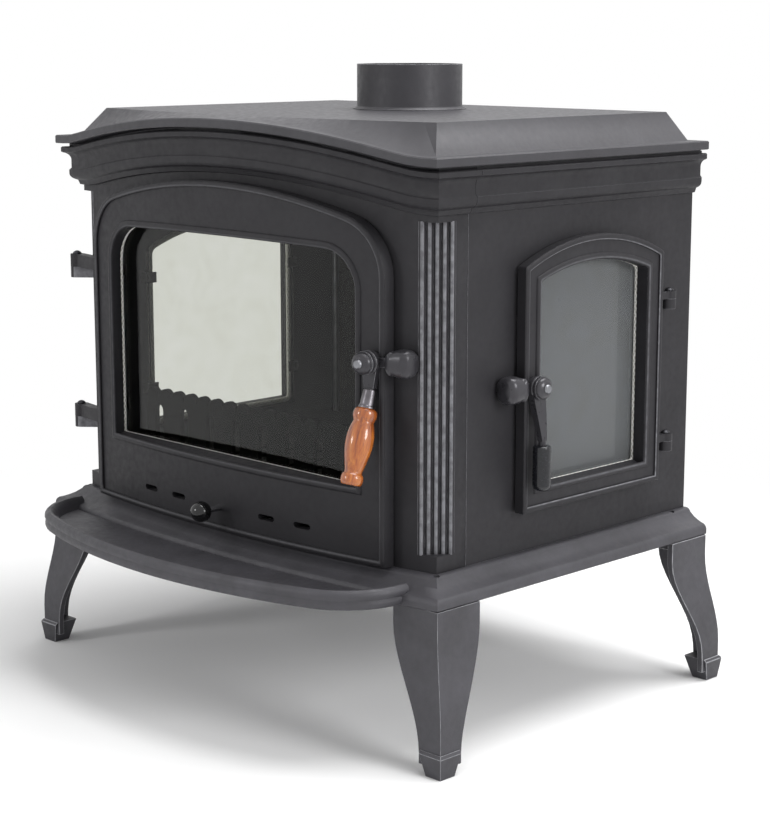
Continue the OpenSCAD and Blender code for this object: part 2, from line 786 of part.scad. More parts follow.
module rear_panel() {
    color("#434246") place() difference() {
        translate([-half_w + wall_t, back_y - wall_t, wall_foot_z])
            cube([body_w - 2 * wall_t, wall_t, wall_h + cornice_h]);
        translate([0, back_y + 1, fireback_bolt_z]) rotate([90, 0, 0])
            cylinder(d = bolt_d, h = wall_t + 2, $fn = 32);
    }
}

// ---------- Cornice, lid and collar ----------

// Moulding of the cornice, as [distance out from the wall, height above the wall's top]
function cornice_edge() = concat(
    [[0.2, -8], [4, -7], [6, -1], [8, 0]],
    arc([6, 9], 9, -60, 0, 4),
    [[15, 14], [12.5, 17]],
    arc([cornice_out, cornice_h - 22], cornice_out - 12.5, 180, 100, 6),
    [[cornice_out, cornice_h - 10.5], [cornice_out, cornice_h - 4.5], [cornice_out - 1.5, cornice_h - 3],
        [cornice_out - recess, cornice_h - 3], [cornice_out - recess, cornice_h + 3]]
);

// Whole run of the cornice: a moulding on top of the walls
module cornice_run() {
    difference() {
        skin([for (p = cornice_edge()) loop(p.x, p.x, p.x, wall_top_z + p.y)]);
        linear_extrude(lid_top_z + beyond) plan(-wall_t);
        intersection() {
            linear_extrude(lid_top_z) plan(0);
            slab_xz(under_arch(wall_top_z), front_y - front_bow - beyond, back_y);
        }
        over_arch(lid_foot_z);
    }
}

// Everything above the eyebrow arch whose straight ends are at height z
module over_arch(z) {
    difference() {
        translate([-half_w - beyond, front_y - front_bow - beyond, z - 1])
            cube([body_w + 2 * beyond, body_d + front_bow + 2 * beyond, 4 * beyond]);
        slab_xz(under_arch(z), front_y - front_bow - 2 * beyond, back_y + 2 * beyond);
    }
}

module cornice_front() {
    color("#3f3f42") place() difference() {
        cornice_run();
        translate([-half_w - beyond, seam_y, 0]) cube([body_w + 2 * beyond, body_d, lid_top_z + beyond]);
    }
}

// The side pieces are straight and meet the front piece at an open seam, in line with the seam of the walls
module cornice_side() {
    edge = cornice_edge();
    top = [cornice_out - recess, cornice_h];
    section = concat(
        [for (i = [0:len(edge) - 2]) edge[i]],
        [top, [-wall_t, cornice_h], [-wall_t, 0], [0, 0], [0, -8]]
    );
    translate([half_w, back_y, wall_top_z]) rotate([90, 0, 0])
        linear_extrude(back_y - seam_y - seam) polygon(section);
}

module cornice_right() { color("#3f3f42") place() cornice_side(); }
module cornice_left() { color("#3f3f42") place() mirror([1, 0, 0]) cornice_side(); }

// Flat lid with an upright edge, a ledge, and a raised top with sloping sides
module top_plate() {
    under = lid_top_z - lid_t;
    neck = cornice_out - recess;
    color("#626267") place() difference() {
        union() {
            difference() {
                skin([
                    loop(neck, neck, -3, lid_foot_z - 3),
                    loop(neck, neck, -3, lid_foot_z + shadow_gap),
                    loop(lid_front - 1, lid_side - 1, -1, lid_foot_z + shadow_gap),
                    loop(lid_front, lid_side, 0, lid_foot_z + shadow_gap + 1),
                    loop(lid_front, lid_side, 0, lid_foot_z + shadow_gap + lid_edge_h - 1.5),
                    loop(lid_front - 1.5, lid_side - 1.5, -1.5, lid_foot_z + shadow_gap + lid_edge_h),
                    loop(lid_front - ledge, lid_side - ledge, -ledge_back, lid_foot_z + shadow_gap + lid_edge_h),
                    loop(lid_front - hip_front, lid_side - hip_side, -hip_back, lid_top_z, 0)
                ]);
                skin([
                    loop(-wall_t - 2, -wall_t - 2, -wall_t - 2, lid_foot_z - 5),
                    loop(-wall_t - 2, -wall_t - 2, -wall_t - 2, lid_foot_z + 1),
                    loop(lid_front - hip_front - lid_t, lid_side - hip_side - lid_t, -hip_back - lid_t, under - 0.5, 0),
                    loop(lid_front - hip_front - lid_t - 1, lid_side - hip_side - lid_t - 1,
                        -hip_back - lid_t - 1, under, 0)
                ]);
            }
            // Raised seat of the flue collar
            translate([0, collar_y, under]) cylinder(d = collar_d + 12, h = lid_t + pad_h, $fn = 180);
            // Bosses for the tie rods
            for (sx = [-1, 1], sy = [-1, 1]) translate([sx * rod_x, sy * rod_y, lid_foot_z + 4])
                cylinder(d = 2.2 * bolt_d, h = lid_h - lid_t - 3, $fn = 40);
        }
        slab_xz(under_arch(lid_foot_z), front_y - front_bow - beyond, seam_y);
        translate([-half_w - beyond, front_y, wall_foot_z])
            cube([body_w + 2 * beyond, body_d + beyond, lid_foot_z - wall_foot_z]);
        for (sx = [-1, 1], sy = [-1, 1]) translate([sx * rod_x, sy * rod_y, lid_foot_z])
            cylinder(d = bolt_d, h = 22, $fn = 32);
        translate([0, collar_y, under - 1]) cylinder(r = flue_hole_r, h = lid_t + pad_h + 2, $fn = 180);
        for (k = [0:2]) translate([0, collar_y, under - 1]) rotate(k * 120 + 90)
            translate([collar_inner_r - 4, 0, 0]) cylinder(d = screw_d, h = lid_t + pad_h + 2, $fn = 32);
    }
}

collar_inner_r = collar_d / 2 - collar_wall;
flue_hole_r = collar_inner_r - 8;
flange_h = 12;
pad_h = 1;

// Spigot that a flue pipe slips over, with an inner flange for bolts from below
module flue_collar() {
    h = collar_h - pad_h;
    color("#4c4c50") place() translate([0, collar_y, lid_top_z + pad_h]) difference() {
        union() {
            cylinder(d = collar_d, h = h, $fn = 180);
            cylinder(d1 = collar_d + 8, d2 = collar_d, h = 4, $fn = 180);
        }
        translate([0, 0, -1]) cylinder(r = flue_hole_r, h = h + 2, $fn = 180);
        translate([0, 0, flange_h]) cylinder(r = collar_inner_r, h = h, $fn = 180);
        for (k = [0:2]) rotate(k * 120 + 90) translate([collar_inner_r - 4, 0, -1])
            cylinder(d = screw_d, h = flange_h, $fn = 32);
    }
}

module collar_bolts() {
    color("#808084") place() for (k = [0:2])
        translate([0, collar_y, lid_top_z - lid_t]) rotate(k * 120 + 90)
            translate([collar_inner_r - 4, 0, 0]) bolt_up(screw_d, lid_t + 10);
}

rod_x = half_w - 36;
rod_y = body_d / 2 - 40;

// Four rods inside the corners that clamp the walls between base and lid
module tie_rods() {
    color("#808084") place() for (sx = [-1, 1], sy = [-1, 1]) translate([sx * rod_x, sy * rod_y, wall_foot_z]) {
        cylinder(d = bolt_d, h = lid_foot_z + 20 - wall_foot_z, $fn = 32);
        cylinder(d = 2 * bolt_d, h = bolt_d, $fn = 6);
    }
}

// ---------- Hinge pins, catches ----------

module hinge_pin(l) {
    cylinder(d = pin_d, h = l, $fn = 48);
    translate([0, 0, l]) intersection() {
        translate([0, 0, -3]) sphere(d = pin_head_d + 2, $fn = 48);
        cylinder(d = pin_head_d, h = pin_head_d, $fn = 48);
    }
}

module front_hinge_pins() {
    color("#39393c") place() for (k = [0, 1])
        translate([pin_x, pin_y, hinge_z(k) - turn_gap - barrel_h])
            hinge_pin(barrel_h + arm_h + 2 * turn_gap);
}

module side_hinge_pins() {
    color("#39393c") place() for (k = [0, 1])
        translate([side_pin_x, side_pin_y, side_hinge_z(k) - turn_gap - side_barrel_h])
            hinge_pin(side_barrel_h + side_arm_h + 2 * turn_gap);
}

// Moves a piece made at a latch's axis to the front door: -Y points out of the door, +X to the catch
module at_front_latch() {
    translate([0, bow_centre_y, latch_h]) rotate(latch_turn) translate([0, -bow_r, 0]) children();
}

// The same at the side door
module at_side_latch() {
    translate([half_w, side_latch_y, side_latch_h]) rotate(90) mirror([1, 0, 0]) children();
}

// Bullet-shaped catch: a foot on the wall and a rounded nose that reaches back towards the door
module catch_piece(start) {
    nose = catch_out - 26;
    from_above = concat(
        [[catch_l, 1], [catch_l, 5 - catch_out]],
        arc([catch_l - 5, 5 - catch_out], 5, 0, -90, 4),
        arc([3 * nose, nose - catch_out], nose, 270, 240, 3),
        arc([nose, nose - catch_out], nose, 225, 180, 4),
        [[2, -25.5], [10, -25.5], [10, 1]]
    );
    half_h = catch_h / 2;
    from_front = concat(
        [[catch_l, 5 - half_h], [catch_l, half_h - 5]],
        arc([catch_l - 5, half_h - 5], 5, 0, 90, 4),
        [for (i = [0:16]) let (t = 90 + i * 11.25) [0.62 * catch_l + 0.62 * catch_l * cos(t), half_h * sin(t)]],
        arc([catch_l - 5, 5 - half_h], 5, 270, 360, 4)
    );
    from_side = concat(
        [[1, half_h], [1, -half_h], [12 - catch_out, -half_h]],
        arc([12 - catch_out, 12 - half_h], 12, 270, 180, 8),
        arc([12 - catch_out, half_h - 12], 12, 180, 90, 8)
    );
    translate([start, 0, 0]) difference() {
        intersection() {
            translate([0, 0, -catch_h]) linear_extrude(2 * catch_h) polygon(from_above);
            slab_xz(from_front, -catch_out - 1, 1);
            slab_yz(from_side, -1, catch_l + 1);
        }
        translate([-1, 0, -catch_h]) cube([catch_l + 2, 2, 2 * catch_h]);
    }
}

// Screws from inside the wall hold the catch
module catch_holes(start) {
    for (s = [-1, 1]) translate([start + catch_l - 18, wall_t + 2, s * 8]) rotate([90, 0, 0])
        cylinder(d = screw_d, h = wall_t + 20, $fn = 32);
}

module catch_screws(start) {
    for (s = [-1, 1]) translate([start + catch_l - 18, wall_t + 0.6, s * 8]) rotate([-90, 0, 0])
        dome_screw(screw_d, wall_t + 18);
}

catch_start = latch_inset + 1.5;
side_catch_start = side_latch_inset + 1.5;

module front_catch_holes() { at_front_latch() catch_holes(catch_start); }
module side_catch_holes() { at_side_latch() catch_holes(side_catch_start); }

module front_catch() {
    color("#4b4b4f") place() difference() {
        at_front_latch() catch_piece(catch_start);
        linear_extrude(lid_top_z) bow_disc(0);
        reed_row(reed_r + 0.05);
        front_catch_holes();
    }
}

module side_catch() {
    color("#4b4b4f") place() difference() {
        at_side_latch() catch_piece(side_catch_start);
        side_catch_holes();
    }
}

module front_catch_screws() { color("#808084") place() at_front_latch() catch_screws(catch_start); }
module side_catch_screws() { color("#808084") place() at_side_latch() catch_screws(side_catch_start); }

// ---------- Left window ----------

left_seat_x = -half_w + wall_t;

module left_glass() {
    color("#9fb4b4", 0.4) place() slab_yz(left_window_outline(glass_lap),
        left_seat_x + glass_rope_t, left_seat_x + glass_rope_t + glass_t, left_y);
}

module left_glass_rope() {
    color("#ecebe4") place() ring_yz(left_window_outline(glass_rope_w), left_window_outline(0),
        left_seat_x, left_seat_x + glass_rope_t, left_y);
}

// Cranked clip that holds the glass against its rope, with its screw; it reaches towards -X
module glass_clip(rope_t) {
    depth = rope_t + glass_t;
    translate([0, -8, -depth]) cube([7, 16, depth + 2]);
    translate([-13, -8, 0]) cube([14, 16, 2]);
    translate([3.5, 0, 2]) dome_screw(screw_d - 1, 3);
}

module left_glass_clips() {
    color("#6c6c70") place() for (sy = [-1, 1], z = [side_window_z0 + 50, side_window_z1 - 70])
        translate([left_seat_x + glass_rope_t + glass_t, left_y + sy * (left_half_w + glass_lap + 0.5), z])
            rotate([0, 90, 0]) rotate(sy * 90) glass_clip(glass_rope_t);
}

// ---------- Firebox ----------

// Holes that keep clear of the tie rods
module rod_clearances(z0, z1) {
    for (sx = [-1, 1], sy = [-1, 1]) translate([sx * rod_x, sy * rod_y, z0])
        cylinder(d = 2 * bolt_d + 4, h = z1 - z0, $fn = 32);
}

// Hearth plates that fill the floor round the grate and rest on side flanges
module hearth_plate() {
    foot = wall_foot_z;
    top = hearth_top_z;
    depth = body_d - 2 * wall_t - 16;
    color("#3a393b") place() difference() {
        translate([-inner_w / 2 + 1, front_y + wall_t + 8, foot]) cube([inner_w - 2, depth, top - foot]);
        translate([-inner_w / 2 + 8, front_y + wall_t + 15, foot - 1])
            cube([inner_w - 16, depth - 14, top - foot - hearth_t + 1]);
        translate([-(grate_w + 2) / 2, -(grate_d + 2) / 2, foot]) cube([grate_w + 2, grate_d + 2, top]);
        translate([-grate_w / 2, front_y - 1, foot - 1]) cube([grate_w, 3 * wall_t, top - foot - hearth_t + 1]);
        rod_clearances(foot - 1, top + 1);
        translate([0, 0, foot - 1]) linear_extrude(top) {
            corner_cut(wall_t + 1);
            mirror([1, 0]) corner_cut(wall_t + 1);
        }
    }
}

// Slotted grate, carried by two runners that stand on the base plate
module grate() {
    bars = 10;
    pitch = (grate_w - 40) / bars;
    z = hearth_top_z - grate_t;
    color("#333235") place() difference() {
        translate([-grate_w / 2, -grate_d / 2, z]) cube([grate_w, grate_d, grate_t]);
        for (i = [0:bars - 1], s = [-1, 1])
            translate([-grate_w / 2 + 20 + (i + 0.5) * pitch, s * grate_d / 4, z - 1])
                linear_extrude(grate_t + 2) square([0.4 * pitch, grate_d / 2 - 30], center = true);
    }
}

module grate_runners() {
    color("#333235") place() for (s = [-1, 1])
        translate([s * (grate_w / 2 - 5) - 5, -grate_d / 2, wall_foot_z]) cube([10, grate_d, grate_z - grate_t]);
}

// Open sheet-metal pan under the grate, with a folded pull at its front
module ash_pan() {
    w = grate_w - 26;
    d = grate_d + 40;
    h = grate_z - grate_t - 6;
    y0 = front_y + wall_t + 22;
    color("#5b5b5f") place() {
        difference() {
            translate([-w / 2, y0, wall_foot_z]) cube([w, d, h]);
            translate([-w / 2 + sheet_t, y0 + sheet_t, wall_foot_z + sheet_t])
                cube([w - 2 * sheet_t, d - 2 * sheet_t, h]);
        }
        translate([-50, y0 - 14, wall_foot_z + h - 12]) cube([100, 15, 3]);
    }
}

// Cast bars with double-lobed tops and arched openings, standing on the hearth behind the door
module log_guard() {
    n = 9;
    foot = hearth_top_z;
    top = foot + guard_h;
    lobe_r = guard_pitch / 2 - 0.6;
    color("#2f2e31") place() translate([0, front_y + guard_y, 0]) {
        difference() {
            union() {
                slab_xz([[-n * guard_pitch - lobe_r, foot], [n * guard_pitch + lobe_r, foot],
                    [n * guard_pitch + lobe_r, top - lobe_r], [-n * guard_pitch - lobe_r, top - lobe_r]], 0, 8);
                for (i = [-n:n]) translate([i * guard_pitch, 8, top - lobe_r]) rotate([90, 0, 0])
                    cylinder(r = lobe_r, h = 8, $fn = 40);
            }
            for (i = [-n:2:n - 1]) translate([(i + 0.5) * guard_pitch, 9, 0]) rotate([90, 0, 0])
                linear_extrude(10) guard_hole(foot + 14, top - 2.4 * lobe_r, 9);
        }
        for (s = [-1, 1]) translate([s * n * guard_pitch - 4, 0, foot]) cube([8, 30, 8]);
    }
}

module guard_hole(z0, z1, r) {
    polygon(concat([[-r, z0], [r, z0]], arc([0, z1], r, 0, 180, 10)));
}

fireback_bolt_z = wall_foot_z + 245;

// Lining of the back wall: courses of joints above and a row of arched air slots below
module fireback() {
    w = inner_w - 60;
    foot = hearth_top_z;
    course_h = 60;
    y0 = back_y - wall_t - brick_t;
    color("#75726a") place() difference() {
        translate([-w / 2, y0, foot]) cube([w, brick_t, fireback_h]);
        for (i = [1:4]) translate([-w / 2 - 1, y0 - 1, foot + 60 + i * course_h - 2]) cube([w + 2, 3, 2]);
        for (i = [0:4], j = [-3:3]) translate([(j + (i % 2) / 2) * 95 - 1, y0 - 1, foot + 60 + i * course_h - 1])
            cube([2, 3, i < 4 ? course_h : fireback_h - 60 - 4 * course_h]);
        for (j = [-5:5]) translate([j * 55, y0 + 9, 0]) rotate([90, 0, 0])
            linear_extrude(10) guard_hole(foot + 8, foot + 40, 10);
        translate([0, y0 - 1, fireback_bolt_z]) rotate([-90, 0, 0]) cylinder(d = bolt_d, h = brick_t + 2, $fn = 32);
    }
}

// Bolt and large washer that hold the fireback
module fireback_bolt() {
    y0 = back_y - wall_t - brick_t;
    color("#98989c") place() translate([0, y0, fireback_bolt_z]) rotate([-90, 0, 0]) {
        translate([0, 0, -2]) cylinder(d = 3 * bolt_d, h = 2, $fn = 48);
        translate([0, 0, -2]) bolt_up(bolt_d, brick_t + wall_t + 8);
        translate([0, 0, brick_t + wall_t]) cylinder(d = 1.8 * bolt_d, h = 6, $fn = 6);
    }
}

// Plate under the lid; the smoke passes round its front edge
module baffle() {
    z = baffle_foot;
    color("#8a867c") place() difference() {
        translate([-inner_w / 2 + 12, front_y + 120, z])
            cube([inner_w - 24, back_y - wall_t - 1 - front_y - 120, baffle_t]);
        rod_clearances(z - 1, z + baffle_t + 1);
    }
}

module baffle_ledges() {
    z = baffle_foot - ledge_t;
    color("#3a393b") place() difference() {
        for (s = [-1, 1]) translate([s * (inner_w / 2 - 11) - 11, front_y + 130, z])
            cube([22, back_y - wall_t - 8 - front_y - 130, ledge_t]);
        rod_clearances(z - 1, baffle_foot + 1);
    }
}

// ---------- Front door ----------

// Arms that carry the front door on its pins
module front_arms() {
    for (k = [0, 1]) translate([0, 0, hinge_z(k)]) {
        linear_extrude(arm_h) translate([pin_x, pin_y]) circle(d = knuckle_d, $fn = 48);
        intersection() {
            linear_extrude(arm_h) difference() {
                bow_disc(door_proud - 1);
                bow_disc(door_gap - 1);
            }
            translate([pin_x, front_y - 2 * beyond, 0]) cube([-door_half_w + 12 - pin_x, 3 * beyond, arm_h]);
        }
    }
}

module front_door() {
    color("#3b3a3e") place() difference() {
        union() {
            bowed(door_outline(0), door_gap, door_proud);
            intersection() {
                slab_xz(window_outline(glass_land), front_y - front_bow - beyond, seat_y);
                linear_extrude(lid_top_z) bow_disc(door_proud - border_h);
            }
            front_arms();
            // Boss that guides the air rod
            translate([0, -bow_r + bow_centre_y - door_gap, wall_foot_z + air_z]) rotate([90, 0, 0])
                cylinder(d = 2 * air_rod_d, h = door_proud - door_gap, $fn = 48);
        }
        bowed(door_outline(border_w), door_proud - border_h, door_proud + 5);
        // Flat seat for the rope and the glass
        slab_xz(window_outline(glass_land), seat_y, front_y + 1);
        ring_door_groove();
        slab_xz(window_outline(0), front_y - front_bow - beyond, front_y);
        // Sloping sill
        slab_yz([[seat_y + 0.01, window_z0 + 0.01], [front_y - front_bow - beyond, window_z0 - sill_slope_drop()],
            [front_y - front_bow - beyond, window_z0 + 1]], -window_half_w, window_half_w);
        for (s = [-1, 1], x = [slot_inner_x, slot_outer_x]) air_slot(s * x);
        translate([0, seat_y, wall_foot_z + air_z]) rotate([90, 0, 0])
            cylinder(d = air_rod_d + 2 * running_gap, h = front_bow + beyond, $fn = 48);
        at_front_latch() {
            translate([0, 5, 0]) rotate([90, 0, 0])
                cylinder(d = spindle_d + 2 * running_gap, h = door_proud + 10, $fn = 48);
            hub_seat(door_proud);
        }
        for (k = [0, 1]) translate([pin_x, pin_y, hinge_z(k) - 1])
            cylinder(d = pin_d + 2 * running_gap, h = arm_h + 2, $fn = 48);
    }
}

// Fall of the sill's plane over the distance that its cutter reaches forward
function sill_slope_drop() = sill_rise * (front_bow + beyond - glass_plane) / (front_bow + door_proud - glass_plane);

module ring_door_groove() {
    difference() {
        bowed(door_outline(4.5), 0, door_gap + rope_groove);
        slab_xz(door_outline(5.5 + door_rope_w), front_y - front_bow - 2 * beyond, front_y + 2 * beyond);
    }
}

// Round seat for a latch hub, cut through the raised border of a door
module hub_seat(proud) {
    translate([0, border_h - proud - 0.1, 0]) rotate([90, 0, 0]) cylinder(d = hub_d + 2, h = 2 * border_h, $fn = 64);
}

// One air slot: a short slot with round ends
module air_slot(x) {
    z = wall_foot_z + air_z + 1;
    r = slot_h / 2;
    outline = concat(arc([x + slot_l / 2 - r, z], r, -90, 90, 8), arc([x - slot_l / 2 + r, z], r, 90, 270, 8));
    slab_xz(outline, front_y - front_bow - beyond, front_y + beyond);
}

module front_glass() {
    color("#9fb4b4", 0.4) place() slab_xz(window_outline(glass_lap),
        seat_y + glass_rope_t, seat_y + glass_rope_t + glass_t);
}

module front_glass_rope() {
    color("#f2f1ec") place() ring_xz(window_outline(glass_rope_w), window_outline(0), seat_y, seat_y + glass_rope_t);
}

module front_glass_clips() {
    color("#6c6c70") place() for (sx = [-1, 1], z = [window_z0 + 40, window_z1 - 70])
        translate([sx * (window_half_w + glass_lap + 0.5), seat_y + glass_rope_t + glass_t, z])
            rotate([-90, 0, 0]) rotate(sx > 0 ? 0 : 180) glass_clip(glass_rope_t);
}

module front_door_rope() {
    color("#d9d7cc") place() difference() {
        bowed(door_outline(5), turn_gap, door_gap + rope_groove);
        slab_xz(door_outline(5 + door_rope_w), front_y - front_bow - 2 * beyond, front_y + 2 * beyond);
    }
}

// ---------- Latches ----------

// Turned hub with rings; its axis runs along -Y from the face of the door
module latch_hub(face, l) {
    r = hub_d / 2;
    bore = spindle_d / 2 + running_gap;
    profile = concat(
        [[bore, 0], [r - 3, 0], [r - 2, 2], [r - 2, l * 0.22]],
        [[r, l * 0.28], [r, l * 0.42], [r - 1.5, l * 0.47], [r, l * 0.52], [r, l * 0.66], [r - 1.5, l * 0.7]],
        [for (t = [0:10:60]) [(r - 0.5) * cos(t), l * 0.73 + l * 0.27 * sin(t) / sin(60)]],
        [[bore, l]]
    );
    translate([0, -face, 0]) rotate([90, 0, 0]) rotate_extrude($fn = 96) polygon(profile);
}

// Hub, tongue and arm, cast in one
module lever_casting(face, l, reach, tip_y, tip_z, tip_w) {
    difference() {
        union() {
            latch_hub(face, l);
            // Tongue towards the catch
            translate([0, -face - 6.8, -6]) cube([reach, 4.5, 12]);
            // Arm, tapered as seen from the front and cranked as seen from the side
            intersection() {
                slab_xz([[2 - hub_d / 2, 0], [hub_d / 2 - 2, 0], [tip_w / 2, tip_z], [-tip_w / 2, tip_z]],
                    -face - 60, 0);
                slab_yz([[-face - 1, 2], [-face - 11, 2], [tip_y - 4.1, tip_z + 4], [tip_y - 4.3, tip_z],
                    [tip_y + 4.3, tip_z], [tip_y + 4.5, tip_z + 4], [-face - 2.6, -13]], -hub_d, hub_d);
            }
        }
        translate([0, -face + 1, 0]) rotate([90, 0, 0]) cylinder(r = spindle_d / 2 + running_gap, h = l + 2, $fn = 48);
    }
}

front_face = door_proud - border_h + turn_gap;
side_face = side_proud - border_h + turn_gap;
front_tip_y = -front_face - 8;
front_tip_z = -34;
side_tip_y = -side_face - 18;

module front_latch_lever() {
    color("#46464a") place() at_front_latch()
        lever_casting(front_face, hub_l, catch_start - 0.5, front_tip_y, front_tip_z, 14);
}

// Spindle through the door, with a collar in the gap behind the door and a cap over the hub
module spindle(face, l) {
    rotate([90, 0, 0]) {
        translate([0, 0, 0.6]) cylinder(d = spindle_d, h = face + l - 0.4, $fn = 48);
        translate([0, 0, 0.6]) cylinder(d = 1.55 * spindle_d, h = door_gap - turn_gap - 0.6, $fn = 48);
        translate([0, 0, face + l + 0.1]) cylinder(d1 = 1.6 * spindle_d, d2 = 1.2 * spindle_d, h = 3, $fn = 48);
    }
}

module front_latch_spindle() { color("#808084") place() at_front_latch() spindle(front_face, hub_l); }

// Leaning handle: its pieces are turned about an axis that runs down and outward
module at_front_handle(along) {
    at_front_latch() translate([0, front_tip_y, front_tip_z]) rotate([-handle_lean, 0, 0]) translate([0, 0, -along])
        children();
}

module front_ferrule() {
    color("#77777b") place() difference() {
        at_front_handle(ferrule_l) rotate_extrude($fn = 64)
            polygon([[0, 0], [10.5, 0], [10.5, 2], [9.5, 4], [8.5, ferrule_l - 3], [7, ferrule_l], [0, ferrule_l]]);
        // Its upper end is flush with the foot of the lever
        at_front_latch() translate([-hub_d, front_tip_y - hub_d, front_tip_z]) cube(2 * hub_d);
    }
}

// Turned grip: a bead, a swelling body and a second bead, from its foot up
function grip_profile() = let (r = grip_d / 2, l = grip_l) concat(
    [[0, 0], [r * 0.74, 0]],
    [for (t = [-60:20:60]) [r * 0.68 + r * 0.17 * cos(t), 7.5 + 7 * sin(t)]],
    [[r * 0.67, 15]],
    [for (i = [0:12]) let (t = i / 12) [r * (0.66 + 0.34 * pow(sin(180 * pow(t, 1.25)), 0.9) * (1 - 0.05 * t)
        + 0.1 * t), 17 + (l - 34) * t]],
    [for (t = [-60:20:60]) [r * 0.74 + r * 0.16 * cos(t), l - 8 + 7 * sin(t)]],
    [[r * 0.7, l], [0, l]]
);

module front_grip() {
    color("#b5692e") place() at_front_handle(ferrule_l + grip_l) rotate_extrude($fn = 96) polygon(grip_profile());
}

module side_latch_lever() {
    color("#46464a") place() at_side_latch() {
        lever_casting(side_face, side_hub_l, side_catch_start - 0.5, side_tip_y, -side_arm_l + 6, 9);
        translate([0, side_tip_y, -side_arm_l]) cylinder(d = side_rod_d, h = 9, $fn = 48);
    }
}

module side_latch_spindle() { color("#808084") place() at_side_latch() spindle(side_face, side_hub_l); }

module side_grip() {
    r = side_grip_d / 2;
    color("#1b1b1d") place() at_side_latch() translate([0, side_tip_y, -side_arm_l - side_grip_l])
        rotate_extrude($fn = 96) polygon(concat(
            [[0, 0]],
            arc([r - 8, 8], 8, -90, 0, 8),
            arc([r - 3, side_grip_l - 3], 3, 0, 90, 4),
            [[0, side_grip_l]]
        ));
}

// ---------- Air control ----------

// The air control stands open, pushed in; pulled out, its plate closes the slots.
module pushed_in() {
    translate([0, air_travel, 0]) children();
}

// Curved valve plate that closes the four slots from inside
module air_plate() {
    half = slot_outer_x + slot_l / 2 + 12;
    z = wall_foot_z + air_z;
    color("#4a4a4d") place() pushed_in() difference() {
        bowed([[-half, z - 14], [half, z - 14], [half, z + 14], [-half, z + 14]], -turn_gap, door_gap - turn_gap);
        translate([0, front_y, z]) rotate([90, 0, 0]) cylinder(d = air_rod_d, h = front_bow + beyond, $fn = 48);
    }
}

module air_rod() {
    color("#c9cacc") place() pushed_in() translate([0, bow_y(0, -5), wall_foot_z + air_z]) rotate([90, 0, 0]) {
        cylinder(d = air_rod_d, h = door_proud + 5 + knob_reach - knob_d / 2 + 3, $fn = 48);
        cylinder(d = 2 * air_rod_d, h = 4, $fn = 6);
    }
}

// Ball knob, bored for the rod
module air_knob() {
    r = knob_d / 2;
    bore = air_rod_d / 2;
    mouth = asin(bore / r);
    color("#151517") place() pushed_in() translate([0, bow_y(0, door_proud + knob_reach), wall_foot_z + air_z])
        rotate([-90, 0, 0]) rotate_extrude($fn = 96)
            polygon(concat([[0, r - 3], [0, -r]], arc([0, 0], r, -87, 90 - mouth, 24), [[bore, r - 3]]));
}

// ---------- Side door ----------

side_seat_x = half_w - side_glass_depth;

module side_arms() {
    for (k = [0, 1]) translate([0, 0, side_hinge_z(k)]) linear_extrude(side_arm_h) {
        translate([side_pin_x, side_pin_y]) circle(d = knuckle_d, $fn = 48);
        polygon([[side_pin_x - 7, side_pin_y], [side_pin_x + 6, side_pin_y + 5],
            [half_w + side_proud + 1, side_y + side_half_w - 12], [half_w + door_gap, side_y + side_half_w - 12]]);
    }
}

module side_door() {
    face_x = half_w + side_proud;
    color("#4a494c") place() difference() {
        union() {
            slab_yz(side_outline(0), half_w + door_gap, face_x, side_y);
            slab_yz(side_window_outline(side_land), side_seat_x, face_x - border_h, side_y);
            side_arms();
        }
        slab_yz(side_outline(border_w - 2), face_x - border_h, face_x + 1, side_y);
        difference() {
            slab_yz(side_outline(2), half_w, half_w + door_gap + rope_groove, side_y);
            slab_yz(side_outline(3 + side_rope_w), half_w - 1, half_w + beyond, side_y);
        }
        slab_yz(side_window_outline(0), half_w - beyond, half_w + beyond, side_y);
        // Sloping sill
        translate([0, side_y + side_half_w - side_stile, 0]) slab_xz([[side_seat_x, side_window_z0 + 0.01],
            [face_x + 5, side_window_z0 - sill_rise], [face_x + 5, side_window_z0 + 1]],
            -2 * (side_half_w - side_stile), 0);
        at_side_latch() {
            translate([0, 5, 0]) rotate([90, 0, 0]) {
                cylinder(d = spindle_d + 2 * running_gap, h = side_proud + 10, $fn = 48);
                cylinder(d = 1.55 * spindle_d + 2, h = 5 + door_gap, $fn = 48);
            }
            hub_seat(side_proud);
        }
        for (k = [0, 1]) translate([side_pin_x, side_pin_y, side_hinge_z(k) - 1])
            cylinder(d = pin_d + 2 * running_gap, h = side_arm_h + 2, $fn = 48);
    }
}

module side_glass() {
    color("#9fb4b4", 0.4) place() slab_yz(side_window_outline(glass_lap),
        side_seat_x - glass_rope_t - glass_t, side_seat_x - glass_rope_t, side_y);
}

module side_glass_rope() {
    color("#f2f1ec") place() ring_yz(side_window_outline(glass_rope_w), side_window_outline(0),
        side_seat_x - glass_rope_t, side_seat_x, side_y);
}

module side_glass_clips() {
    half = side_half_w - side_stile + glass_lap + 0.5;
    color("#6c6c70") place() for (sy = [-1, 1], z = [side_window_z0 + 40, side_window_z1 - 60])
        translate([side_seat_x - glass_rope_t - glass_t, side_y + sy * half, z])
            rotate([0, -90, 0]) rotate(sy * 90) glass_clip(glass_rope_t);
}

module side_door_rope() {
    color("#d9d7cc") place() ring_yz(side_outline(2.5), side_outline(2.5 + side_rope_w),
        half_w + turn_gap, half_w + door_gap + rope_groove, side_y);
}

// ---------- One line per node ----------

